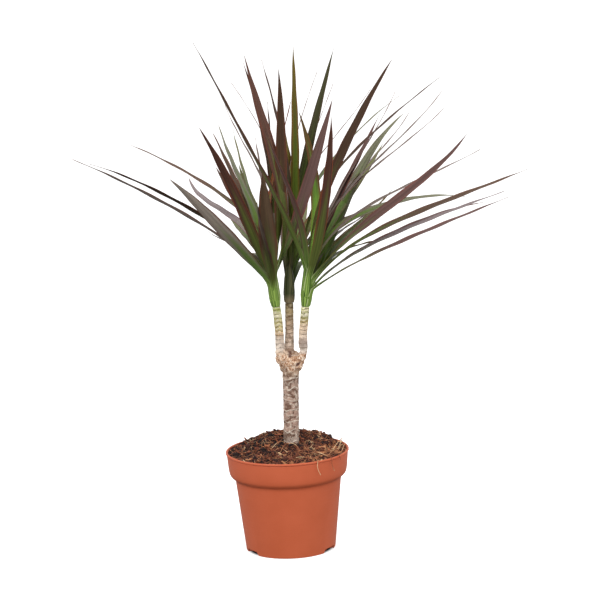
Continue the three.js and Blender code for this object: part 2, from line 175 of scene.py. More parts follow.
HEADS = {
    "left": {"foot": (-5.2, 4, 240), "lean": (-0.1, -0.06, 1)},
    "middle": {"foot": (7.6, 14, 241), "lean": (0.03, 0.1, 1)},
    "right": {"foot": (23.1, 4, 239), "lean": (0.12, -0.06, 1)},
}
SHOOT_R = 4.2
SHOOT_LENGTH = 40
SHOOT_SWELL = 2.2
SHOOT_RINGS = 10
SHOOT_SIDES = 32
SHOOT_TAPER = 0.85
# the middle shoot's darker green is painted shade, as it stands behind the other heads
SHOOT_GREEN = {"left": "#55702c", "middle": "#353d1c", "right": "#55702c"}
SHOOT_BLADE = "#5f7a32"  # where the green ends, which a shoot hardly shows
SHOOT_ALONG = 0.03  # a shoot is coloured like this lowest share of a leaf
FIRST_LEAF = 3
LEAF_SPREAD = 26
ROOT_R = 1.5

NECK = 0.62
WIDEST_AT = 0.42
CLASP = 0.15
CLASP_END = 0.05
POINT_POWER = 1.9
FOLD = 10
FOLD_AT_ROOT = 36
FOLD_END = 0.14
FOLD_ROUND = 0.03  # how soft the fold is at the rib, and how far that lets the rib sink
FOLD_SINK = 0.17
WAVE_HEIGHT = 0.25  # the margin's soft waves, and how many radians of them a blade has
WAVE_PACE = 37
MARGIN_THINNER = 0.5  # the share of its thickness that a blade loses to its margin
TIP_THINNER = 0.4  # and to its tip
BOW_POWER = 5
BOW_PEAK = 0.535  # the bow formula's highest value, so that a leaf's bow is in millimetres
SAG_SCALE = 6
TURNED_BY = 0.55

SHEATH_CLEAR = (0.8, 0.1)  # how far it lies off the shoot, on the lowest leaf and the topmost
# How many degrees it reaches either way, at the root and where the blade leaves the shoot.
SHEATH_WRAP = {"left": (62, 40), "middle": (125, 55), "right": (62, 40)}
SHEATH_END = 0.042  # the share of the leaf's length by which it has left the shoot
SHEATH_FOOT = 0.4  # the height over the shoot's foot at which each of them starts
SHEATH_HOLD = 0.012  # the share of the leaf's length that keeps quite close to the shoot
# The blade leaves the shoot at its leaf's own height, less the drop, plus this share of the
# length that the sheath takes.
SHEATH_DROP = 2.5
SHEATH_CLIMB = 0.96
SHEATH_SINK = 0.5  # how far under the shoot's skin a sheath with no clearance lies
YOUNG_GREEN = {"left": 1, "middle": 0.1, "right": 1}  # how fresh each head's sheaths are
LEAF_NUMBER_STEP = 0.37  # spreads the numbers that vary the leaves' streaks
# The shoot under the sheaths, as a share of its radius over them: at its foot, and higher up.
CORE_FOOT_SHARE = 0.95
CORE_SHARE = 0.84
CORE_FOOT = 6

# Leaves that can be told apart from the front, each head from its lowest to its topmost: the
# tip's place, how far it bows up, sags and swings, its width, how many degrees it turns, and
# its colouring.
LEAVES = {
    "left": [
        ((-31, 185, 339), 12, 3, 0, 10, 45, "green"),
        ((-18, -165, 366), 12, 3, -2, 10, -55, "dark"),
        ((-43, 190, 393), 15, 4, 2, 9, 50, "green"),
        ((-192, -20, 393), 16.5, -3, -2, 9, 25, "grey"),
        ((-88, 110, 356), 40, 8, 20, 10, 0, "lilac"),
        ((-172, -70, 394), 20, -6, 0, 10, 15, "dark"),
        ((-96, -140, 386), 5, -3, -1, 13, 30, "silver"),
        ((-12, -170, 393), 4, 2, -1, 17, 20, "umber"),
        ((-20, 160, 387), 12, 3, -1, 9, 55, "grey"),
        ((-57, 165, 401), 21, 6, 2, 11, 35, "sage"),
        ((-142, 60, 396), 29, -3, -9, 10, 0, "brown"),
        ((-62, 120, 398), 5, 0, -2, 11, 25, "brown"),
        ((-6, 125, 427), 12, 3, -2, 9, 65, "dark"),
        ((-68, -120, 429), -2, -2, 5, 13, 0, "maroon"),
        ((-49, 120, 426), 37, 12, -6, 8, 50, "grey"),
        ((17, 35, 435), 12, 2, 6, 8, -30, "red"),
        ((-28, 75, 471), 15, 4, -9, 10, 40, "dark"),
        ((57, 17, 438), -4, 1, 3, 12, 65, "mauve"),
        ((6, 0, 470), -4, 2, 4, 12, -75, "dark"),
        ((-26, 5, 483), 20, 2, -4, 12, -50, "maroon"),
    ],
    "middle": [
        ((131, 145, 323), 27, 6, 7, 9, 10, "mauve"),
        ((127, 130, 427), 23, -5, 17, 10, -20, "sage"),
        ((99, 150, 433), 35, 9, 10, 7, -40, "grey"),
        ((-42, 160, 444), 18, 2, -17, 7, 60, "grey"),
        ((61, 130, 442), 15, 3, 7, 7, -55, "grey"),
        ((45, 130, 454), 15, 2, 11, 7, -65, "grey"),
        ((9, 95, 405), 12, 3, -6, 11, 55, "olive"),
        ((-10, 85, 472), 17, 5, -8, 9, 50, "dark"),
        ((61, 62, 483), 5, 1, 4, 11, 15, "moss"),
        ((21, 25, 491), -4, 0, -2, 11, 15, "olive"),
    ],
    "right": [
        ((187, 80, 329), 39, -11, 9, 10, 20, "sage"),
        ((201, 40, 328), 13, -7, 6, 8, 10, "mauve"),
        ((215, -70, 348), 7, 0, -3, 10, 20, "mauve"),
        ((215, -30, 348), 12, 0, 15, 9, 20, "lilac"),
        ((240, 0, 364), 19, 1, 2, 11, 20, "brown"),
        ((200, 50, 379), 28, 3, 7, 9, 0, "grey"),
        ((139, 170, 406), 31, 8, -1, 8, -30, "grey"),
        ((170, 130, 430), 29, 8, 1, 8, -20, "grey"),
        ((170, 100, 416), 29, 6, 7, 8, -15, "grey"),
        ((180, -50, 407), 7, 9, 3, 12, 50, "mauve"),
        ((129, 100, 412), -12, -8, 21, 13, 15, "sage"),
        ((122, 110, 433), 16, 5, 0, 7, -35, "grey"),
        ((163, 60, 450), 33, -1, 17, 7, 0, "dark"),
        ((104, 90, 412), 8, 2, 1, 11, -10, "mauve"),
        ((52, -105, 433), -3, 1, 5, 13, 25, "maroon"),
        ((-9, -105, 425), 13, 7, 4, 9, -35, "mauve"),
        ((-70, -115, 505), 18, -5, -12, 11, -25, "brown"),
        ((114, -20, 477), 13, -3, -10, 12, 60, "dark"),
        ((24, 32, 425), -1, 3, -12, 11, 20, "spring"),
    ],
}

# Leaves behind, by the rule that the solids' heads follow: how many, the bearings and climbs
# in degrees that they span, and the seed of their draws.
FANS = {
    "left": {"count": 6, "from": 97, "to": 112, "low": 8, "high": 40, "seed": 53},
    "middle": {"count": 6, "from": 72, "to": 92, "low": 6, "high": 40, "seed": 11},
    "right": {"count": 6, "from": 52, "to": 68, "low": 14, "high": 40, "seed": 59},
}
FAN_STRIDE = 0.618034
FAN_LENGTH = (185, 235)
FAN_BOW = (14, 28)
FAN_SAG = 4
FAN_WIDTH = (9, 12)
FAN_TURN = 25
FAN_COLOURING = ("olive", "dark", "green")

# A leaf's colouring: its blade, its margin, the green that rises from its root, and the share
# of its length that the green reaches.
COLOURINGS = {
    "dark": ("#443022", "#623425", "#555e2a", 0.40),
    "moss": ("#403f25", "#503724", "#55622a", 0.50),
    "maroon": ("#5a3c32", "#79402c", "#5e6832", 0.50),
    "red": ("#6b361f", "#8a4022", "#5e6e2e", 0.46),
    "brown": ("#5d4738", "#744736", "#607038", 0.40),
    "umber": ("#6d5742", "#744736", "#64703a", 0.45),
    "mauve": ("#644a45", "#74463e", "#667c3e", 0.32),
    # lilac, silver and grey blades are paler and greyer than the leaves' own colour: painted sheen
    # for the grey reflection of their wax, and for silver painted light as well
    "lilac": ("#8e8080", "#7a5c5e", "#788c5c", 0.28),
    "silver": ("#a4988c", "#785246", "#688440", 0.42),
    "grey": ("#7e7068", "#785246", "#6c7e44", 0.22),
    "sage": ("#7e7e66", "#746a54", "#688238", 0.56),
    "olive": ("#685a22", "#774c22", "#607228", 0.62),
    "spring": ("#604c26", "#7c4826", "#64882c", 0.66),
    "green": ("#76784e", "#705a40", "#66843a", 0.60),
}


# ---- Helpers: numbers and colours ----


def smooth(x):
    """A soft step from 0 to 1, as x goes from 0 to 1."""
    x = min(1.0, max(0.0, x))
    return x * x * (3 - 2 * x)


def risen(x, low, high):
    """The soft step as x goes from low to high."""
    return smooth((x - low) / (high - low))


def lerp(a, b, share):
    return a + (b - a) * share


def linear(hex_code):
    """An sRGB hex value as linear RGBA."""
    channels = [int(hex_code[i:i + 2], 16) / 255 for i in (1, 3, 5)]
    return (*[c / 12.92 if c <= 0.04045 else ((c + 0.055) / 1.055) ** 2.4 for c in channels], 1)


# ---- Settings ----


class PotSettings(bpy.types.PropertyGroup):
    colour: bpy.props.FloatVectorProperty(
        name="Plastic", description="Colour of the pot", subtype="COLOR", size=3,
        min=0, max=1, default=(0.585, 0.117, 0.043),
    )
    sides: bpy.props.IntProperty(
        name="Sides", description="Steps round the pot", default=POT_SIDES, min=24, max=360,
    )


class SoilSettings(bpy.types.PropertyGroup):
    crumbs: bpy.props.IntProperty(
        name="Crumbs", description="Small crumbs of peat and pith", default=3600, min=0,
    )
    clods: bpy.props.IntProperty(
        name="Clods", description="Larger lumps on the heap", default=360, min=0,
    )
    chips: bpy.props.IntProperty(
        name="Husk chips", description="Flat chips of coconut husk", default=170, min=0,
    )
    fibres: bpy.props.IntProperty(
        name="Fibres", description="Loose coir fibres on the heap", default=900, min=0,
    )


class TrunkSettings(bpy.types.PropertyGroup):
    voxel: bpy.props.FloatProperty(
        name="Voxel", description="Edge of the cells that join the limbs",
        default=0.5 * MM, min=0.2 * MM, unit="LENGTH", precision=4,
    )
    ring_gap: bpy.props.FloatProperty(
        name="Ring gap", description="Height between the leaf scars on the stump",
        default=10.4 * MM, min=1 * MM, unit="LENGTH", precision=4,
    )


class LeafSettings(bpy.types.PropertyGroup):
    thickness: bpy.props.FloatProperty(
        name="Thickness", description="Thickness of a blade at its rib",
        default=0.5 * MM, min=0.1 * MM, unit="LENGTH", precision=5,
    )
    steps: bpy.props.IntProperty(
        name="Steps", description="Faces along a blade", default=80, min=10, max=200,
    )
    strips: bpy.props.IntProperty(
        name="Strips", description="Faces across a blade", default=8, min=2, max=20,
    )


class StageSettings(bpy.types.PropertyGroup):
    floor: bpy.props.FloatProperty(
        name="Floor", description="Side of the pale floor", default=60, min=1, unit="LENGTH",
    )
    key_light: bpy.props.FloatProperty(
        name="Key light", description="Power of the front light", default=27, min=0,
        unit="POWER",
    )
    tent_light: bpy.props.FloatProperty(
        name="Tent light", description="Brightness of the white tent overhead", default=0.8,
        min=0,
    )


# ---- Helpers: selecting and shaping ----


def deselect():
    """Nothing selected, so that the next operator acts on its own piece alone."""
    if bpy.context.object and bpy.context.object.mode != "OBJECT":
        bpy.ops.object.mode_set(mode="OBJECT")
    bpy.ops.object.select_all(action="DESELECT")


def choose(piece):
    """The piece selected alone and active."""
    deselect()
    piece.select_set(True)
    bpy.context.view_layer.objects.active = piece


def named(piece, name):
    piece.name = name
    piece.data.name = name
    return piece


def modify(piece, kind, **settings):
    """Adds a modifier to the piece and applies it."""
    choose(piece)
    modifier = piece.modifiers.new(kind.title(), kind)
    for key, value in settings.items():
        setattr(modifier, key, value)
    bpy.ops.object.modifier_apply(modifier=modifier.name)


def joined(pieces, name):
    """The pieces as one object."""
    deselect()
    for piece in pieces:
        piece.select_set(True)
    bpy.context.view_layer.objects.active = pieces[0]
    bpy.ops.object.join()
    return named(bpy.context.object, name)


def new_object(name, data):
    made = bpy.data.objects.new(name, data)
    bpy.context.collection.objects.link(made)
    return made


def copied(piece):
    return new_object(piece.name, piece.data.copy())


def points_of(piece):
    flat = np.empty(len(piece.data.vertices) * 3)
    piece.data.vertices.foreach_get("co", flat)
    return flat.reshape(-1, 3)


def set_points(piece, points):
    piece.data.vertices.foreach_set("co", np.asarray(points, dtype=np.float64).ravel())
    piece.data.update()


def set_value(piece, name, values):
    """A number for each vertex, which the piece's material reads."""
    layer = piece.data.attributes.get(name) or piece.data.attributes.new(name, "FLOAT", "POINT")
    layer.data.foreach_set("value", np.broadcast_to(values, len(piece.data.vertices)).astype("f"))


def set_colour(piece, name, rgba):
    """A colour for each vertex, from one colour for all or a row for each."""
    layer = piece.data.attributes.new(name, "FLOAT_COLOR", "POINT")
    rows = np.broadcast_to(rgba, (len(piece.data.vertices), 4))
    layer.data.foreach_set("color", rows.astype("f").ravel())


def hand_over(piece, material, replaces=None):
    """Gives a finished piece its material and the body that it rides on."""
    piece.data.materials.clear()
    piece.data.materials.append(material)
    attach(piece, "root")
    if replaces:
        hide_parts(replaces)


def spun(name, profile, steps, angle=TAU):
    """A body of revolution: a profile of radius and height, drawn point by point, spun round Z."""
    deselect()
    bpy.ops.mesh.primitive_plane_add(size=MM)
    bpy.ops.object.mode_set(mode="EDIT")
    bpy.ops.mesh.merge(type="CENTER")
    (r, z), *rest = [(r * MM, z * MM) for r, z in profile]
    bpy.ops.transform.translate(value=(r, 0, z))
    for next_r, next_z in rest:
        move = {"value": (next_r - r, 0, next_z - z)}
        bpy.ops.mesh.extrude_region_move(TRANSFORM_OT_translate=move)
        r, z = next_r, next_z
    bpy.ops.mesh.select_all(action="SELECT")
    bpy.ops.mesh.spin(steps=steps, angle=angle, center=(0, 0, 0), axis=(0, 0, 1))
    bpy.ops.mesh.select_all(action="SELECT")
    bpy.ops.mesh.remove_doubles(threshold=0.01 * MM)
    bpy.ops.mesh.normals_make_consistent(inside=False)
    bpy.ops.object.mode_set(mode="OBJECT")
    return named(bpy.context.object, name)


def new_curve(name, radius, ring_steps, line_steps):
    """A curve that has no splines yet, with a round section and closed ends."""
    curve = bpy.data.curves.new(name, "CURVE")
    curve.dimensions = "3D"
    curve.bevel_depth = radius * MM
    curve.bevel_resolution = ring_steps
    curve.resolution_u = line_steps
    curve.use_fill_caps = True
    return curve


def meshed(name, curve):
    """The curve made a mesh."""
    choose(new_object(name, curve))
    bpy.ops.object.convert(target="MESH")
    return bpy.context.object


def rounded(corners, steps=4):
    """A profile whose corners, each with the length that it gives up, are turned into curves."""
    profile = []
    for i, (r, z, cut) in enumerate(corners):
        if not cut or i in (0, len(corners) - 1):
            profile.append((r, z))
            continue
        here = Vector((r, z))
        before = Vector(corners[i - 1][:2]) - here
        after = Vector(corners[i + 1][:2]) - here
        a = here + before.normalized() * min(cut, before.length * 0.45)
        b = here + after.normalized() * min(cut, after.length * 0.45)
        for k in range(steps + 1):
            t = k / steps
            point = a * (1 - t) ** 2 + here * 2 * t * (1 - t) + b * t ** 2
            profile.append(tuple(point))
    return profile


# ---- Helpers: materials ----


MIX_A = 6  # a colour Mix node's inputs, by place, since their names repeat
MIX_B = 7


def wire(tree, made, links):
    """Sets a node's inputs, each to a value, a socket or the first output in use of a node."""
    for key, value in links.items():
        if isinstance(value, bpy.types.Node):
            value = next(socket for socket in value.outputs if socket.enabled)
        if isinstance(value, bpy.types.NodeSocket):
            tree.links.new(value, made.inputs[key])
        else:
            made.inputs[key].default_value = value


def node(tree, kind, links=None, stops=None, **settings):
    """Adds a node with its settings and links, and for a colour ramp its stops."""
    made = tree.nodes.new(kind)
    for key, value in settings.items():
        setattr(made, key, value)
    wire(tree, made, links or {})
    if stops:
        ramp = made.color_ramp.elements
        while len(ramp) < len(stops):
            ramp.new(0.5)
        for element, (place, colour) in zip(ramp, stops):
            element.position = place
            element.color = linear(colour)
    return made


def blank(name):
    """A material with nothing but its shader, its node tree, and that shader."""
    material = bpy.data.materials.new(name)
    material.use_nodes = True
    tree = material.node_tree
    tree.nodes.clear()
    shader = tree.nodes.new("ShaderNodeBsdfPrincipled")
    output = tree.nodes.new("ShaderNodeOutputMaterial")
    tree.links.new(shader.outputs[0], output.inputs[0])
    return material, tree, shader


def moulded_polypropylene(colour):
    """Polypropylene, injection moulded with regrind: soft satin, faintly mottled, scuffed."""
    material, tree, shader = blank("moulded_polypropylene")
    place = node(tree, "ShaderNodeTexCoord").outputs["Object"]
    # cloudy flow of the melt, 25 mm across, and specks of regrind, 0.8 mm
    flow = node(tree, "ShaderNodeTexNoise", {"Vector": place, "Scale": 40, "Detail": 3})
    specks = node(tree, "ShaderNodeTexNoise", {"Vector": place, "Scale": 1250, "Detail": 2})
    base = (*colour, 1)
    pale = (*[min(1, c * 1.14 + 0.012) for c in colour], 1)
    deep = (*[c * 0.86 for c in colour], 1)
    share = node(tree, "ShaderNodeMapRange", {0: flow, 1: 0.3, 2: 0.7, 3: 0.0, 4: 0.4})
    body = node(tree, "ShaderNodeMix", {0: share, MIX_A: base, MIX_B: pale}, data_type="RGBA")
    spotted = node(tree, "ShaderNodeMapRange", {0: specks, 1: 0.58, 2: 0.75, 3: 0.0, 4: 0.3})
    coat = node(tree, "ShaderNodeMix", {0: spotted, MIX_A: body, MIX_B: deep}, data_type="RGBA")
    # handling scuffs run round the pot, so they are stretched sideways
    long_way = node(tree, "ShaderNodeMapping", {"Vector": place, "Scale": (90, 90, 900)})
    scuffs = node(tree, "ShaderNodeTexNoise", {"Vector": long_way, "Scale": 1, "Detail": 4})
    rough = node(tree, "ShaderNodeMapRange", {0: scuffs, 1: 0.3, 2: 0.75, 3: 0.46, 4: 0.6})
    grain = node(tree, "ShaderNodeBump",
                 {"Strength": 0.12, "Distance": 0.15 * MM, "Height": specks})
    ripple = node(tree, "ShaderNodeBump",
                  {"Strength": 0.1, "Distance": 0.6 * MM, "Height": flow, "Normal": grain})
    wire(tree, shader, {
        "Base Color": coat,
        "Roughness": rough,
        "IOR": 1.49,
        "Specular IOR Level": 0.45,
        "Normal": ripple,
    })
    return material


def coir_and_peat():
    """Moist coir dust and peat: almost black in damp patches, rust brown where it dries."""
    material, tree, shader = blank("coir_and_peat")
    place = node(tree, "ShaderNodeTexCoord").outputs["Object"]
    # crumbs of 2 mm, damp and dry patches of 11 mm, and dust of 0.4 mm
    crumbs = node(tree, "ShaderNodeTexVoronoi", {"Vector": place, "Scale": 520})
    patches = node(tree, "ShaderNodeTexNoise", {"Vector": place, "Scale": 90, "Detail": 4})
    dust = node(tree, "ShaderNodeTexNoise", {"Vector": place, "Scale": 2500, "Detail": 2})
    tones = [(0.3, "#150b0a"), (0.5, "#2e1813"), (0.62, "#4a271e"), (0.8, "#74402c")]
    coloured = node(tree, "ShaderNodeValToRGB", {0: patches}, tones)
    lit = node(tree, "ShaderNodeMapRange", {0: dust, 1: 0.3, 2: 0.7, 3: 0.7, 4: 1.35})
    grained = node(tree, "ShaderNodeVectorMath", {0: coloured, "Scale": lit}, operation="SCALE")
    lumpy = node(tree, "ShaderNodeBump", {"Strength": 0.8, "Distance": 0.8 * MM, "Height": crumbs})
    gritty = node(tree, "ShaderNodeBump",
                  {"Strength": 0.6, "Distance": 0.25 * MM, "Height": dust, "Normal": lumpy})
    wire(tree, shader, {
        "Base Color": grained,
        "Roughness": 0.9,
        "IOR": 1.4,
        "Normal": gritty,
    })
    return material


def coir_bits(name, tones, roughness):
    """Loose bits of husk, pith and peat: each has a tone of its own along a run of browns."""
    material, tree, shader = blank(name)
    place = node(tree, "ShaderNodeTexCoord").outputs["Object"]
    tone = node(tree, "ShaderNodeAttribute", attribute_name="tone").outputs["Fac"]
    coloured = node(tree, "ShaderNodeValToRGB", {0: tone}, tones)
    # broken pith, 0.5 mm
    grain = node(tree, "ShaderNodeTexNoise", {"Vector": place, "Scale": 2000, "Detail": 3})
    lit = node(tree, "ShaderNodeMapRange", {0: grain, 1: 0.3, 2: 0.7, 3: 0.65, 4: 1.3})
    grained = node(tree, "ShaderNodeVectorMath", {0: coloured, "Scale": lit}, operation="SCALE")
    rough = node(tree, "ShaderNodeBump", {"Strength": 0.7, "Distance": 0.3 * MM, "Height": grain})
    wire(tree, shader, {
        "Base Color": grained,
        "Roughness": roughness,
        "IOR": 1.45,
        "Normal": rough,
    })
    return material


def dracaena_bark():
    """Thin corky bark: patches of grey and brown between cream leaf scars, green where young."""
    material, tree, shader = blank("dracaena_bark")
    place = node(tree, "ShaderNodeTexCoord").outputs["Object"]
    coat = node(tree, "ShaderNodeAttribute", attribute_name="coat").outputs["Color"]
    level, line, scar, ring, callus, pit_shade, shade, aged = [
        node(tree, "ShaderNodeAttribute", attribute_name=name).outputs["Fac"]
        for name in ("level", "line", "scar", "ring", "callus", "pit_shade", "shade", "aged")
    ]
    # patches 8 mm wide and 6 mm high between the old scars' creases, each with its own tone
    patch_at = node(tree, "ShaderNodeMapping", {"Vector": place, "Scale": (130, 130, 180)})
    warp = node(tree, "ShaderNodeTexNoise", {"Vector": place, "Scale": 260, "Detail": 2})
    patch_at = node(tree, "ShaderNodeVectorMath",
                    {0: patch_at, 1: warp.outputs[1]}, operation="ADD")
    patches = node(tree, "ShaderNodeTexVoronoi", {"Vector": patch_at, "Scale": 1})
    creases = node(tree, "ShaderNodeTexVoronoi",
                   {"Vector": patch_at, "Scale": 1}, feature="DISTANCE_TO_EDGE")
    own = node(tree, "ShaderNodeSeparateColor", {0: patches.outputs["Color"]})
    # blotches of 4 mm, and fine upright cracks, 0.6 mm apart
    blotch_at = node(tree, "ShaderNodeMapping", {"Vector": place, "Scale": (240, 240, 300)})
    blotches = node(tree, "ShaderNodeTexNoise",
                    {"Vector": blotch_at, "Scale": 1, "Detail": 5, "Roughness": 0.65})
    crack_at = node(tree, "ShaderNodeMapping", {"Vector": place, "Scale": (1500, 1500, 420)})
    cracks = node(tree, "ShaderNodeTexNoise",
                  {"Vector": crack_at, "Scale": 1, "Detail": 3, "Roughness": 0.6})
    tone = node(tree, "ShaderNodeMath", {0: own, 1: 0.24, 2: blotches}, operation="MULTIPLY_ADD")
    browned = node(tree, "ShaderNodeMapRange", {0: tone, 1: 0.66, 2: 0.5, 3: 0.0, 4: aged})
    brown = node(tree, "ShaderNodeMix", {0: browned, MIX_A: coat, MIX_B: linear("#b3a194")},
                 data_type="RGBA", blend_type="MULTIPLY")
    bright = node(tree, "ShaderNodeMapRange", {0: tone, 1: 0.58, 2: 0.82, 3: 1.0, 4: 1.38})
    bare = node(tree, "ShaderNodeVectorMath", {0: brown, "Scale": bright}, operation="SCALE")
    # crinkled callus, 3 mm from wrinkle to wrinkle: cream crests over brown hollows. The colour
    # follows the bump's own noise, so it is partly the callus's colour, partly painted shade in the
    # hollows and painted highlight on the crests
    wrinkles = node(tree, "ShaderNodeTexNoise", {"Vector": place, "Scale": 330, "Detail": 5,
                                                 "Roughness": 0.62, "Distortion": 1.6})
    tans = [(0.34, "#6f4029"), (0.43, "#ad7a58"), (0.52, "#ddb898"), (0.62, "#ffefdc")]
    crinkled_and_shaded = node(tree, "ShaderNodeValToRGB", {0: wrinkles}, tans)
    knobby = node(tree, "ShaderNodeMix",
                  {0: callus, MIX_A: bare, MIX_B: crinkled_and_shaded}, data_type="RGBA")
    # the leaf scars' thin lines, broken here and there: pale ones where level passes a whole
    # number, dark ones halfway between them
    broken = node(tree, "ShaderNodeMapRange", {0: warp, 1: 0.38, 2: 0.52, 3: 0.3, 4: 1.0})
    lines = []
    for shift, share in ((0.5, scar), (0, ring)):
        wrap = node(tree, "ShaderNodeMath", {0: level, 1: shift}, operation="ADD")
        wrap = node(tree, "ShaderNodeMath", {0: wrap}, operation="FRACT")
        wrap = node(tree, "ShaderNodeMath", {0: wrap, 1: 0.5}, operation="SUBTRACT")
        wrap = node(tree, "ShaderNodeMath", {0: wrap}, operation="ABSOLUTE")
        near = node(tree, "ShaderNodeMath", {0: wrap, 1: line}, operation="DIVIDE")
        drawn = node(tree, "ShaderNodeMapRange", {0: near, 1: 0.35, 2: 1.0, 3: 1.0, 4: 0.0})
        drawn = node(tree, "ShaderNodeMath", {0: drawn, 1: broken}, operation="MULTIPLY")
        drawn = node(tree, "ShaderNodeMath", {0: drawn, 1: share}, operation="MULTIPLY")
        lines.append(drawn)
    pale_line, dark_line = lines
    creased = node(tree, "ShaderNodeMapRange", {0: creases, 1: 0.02, 2: 0.075, 3: 0.75, 4: 0.0})
    kept_creases = node(tree, "ShaderNodeMapRange", {0: blotches, 1: 0.46, 2: 0.54, 3: 0.0, 4: 1.0})
    creased = node(tree, "ShaderNodeMath", {0: creased, 1: kept_creases}, operation="MULTIPLY")
    creased = node(tree, "ShaderNodeMath", {0: creased, 1: scar}, operation="MULTIPLY")
    pale_line = node(tree, "ShaderNodeMath", {0: pale_line, 1: creased}, operation="MAXIMUM")
    lined = node(tree, "ShaderNodeMix",
                 {0: pale_line, MIX_A: knobby, MIX_B: linear("#ecdfcd")}, data_type="RGBA")
    ringed = node(tree, "ShaderNodeMix",
                  {0: dark_line, MIX_A: lined, MIX_B: linear("#6a5238")}, data_type="RGBA")
    # painted shade: the knob's hollows, and the low parts of its wrinkles, are darkened to brown
    # black
    pit_shade = node(tree, "ShaderNodeMath", {0: wrinkles, 1: -1.6, 2: pit_shade}, operation="MULTIPLY_ADD")
    pit_shade = node(tree, "ShaderNodeMapRange", {0: pit_shade, 1: -0.6, 2: 0.1, 3: 0.0, 4: 0.9})
    pit_shaded = node(tree, "ShaderNodeMix",
                  {0: pit_shade, MIX_A: ringed, MIX_B: linear("#5a2f22")}, data_type="RGBA")
    cracked = node(tree, "ShaderNodeMapRange", {0: cracks, 1: 0.32, 2: 0.62, 3: 0.78, 4: 1.1})
    lit = node(tree, "ShaderNodeMath", {0: cracked, 1: shade}, operation="MULTIPLY")
    shaded = node(tree, "ShaderNodeVectorMath", {0: pit_shaded, "Scale": lit}, operation="SCALE")
    # the lines stand 0.3 mm proud, the cracks are as deep, and callus is rougher
    proud = node(tree, "ShaderNodeMath", {0: pale_line, 1: dark_line}, operation="SUBTRACT")
    ridged = node(tree, "ShaderNodeBump", {"Strength": 0.6, "Distance": 0.3 * MM, "Height": proud})
    split = node(tree, "ShaderNodeBump",
                 {"Strength": 0.7, "Distance": 0.3 * MM, "Height": cracks, "Normal": ridged})
    uneven = node(tree, "ShaderNodeBump",
                  {"Strength": 0.8, "Distance": 1.0 * MM, "Height": wrinkles, "Normal": split})
    wire(tree, shader, {
        "Base Color": shaded,
        "Roughness": 0.75,
        "IOR": 1.45,
        "Normal": uneven,
    })
    return material


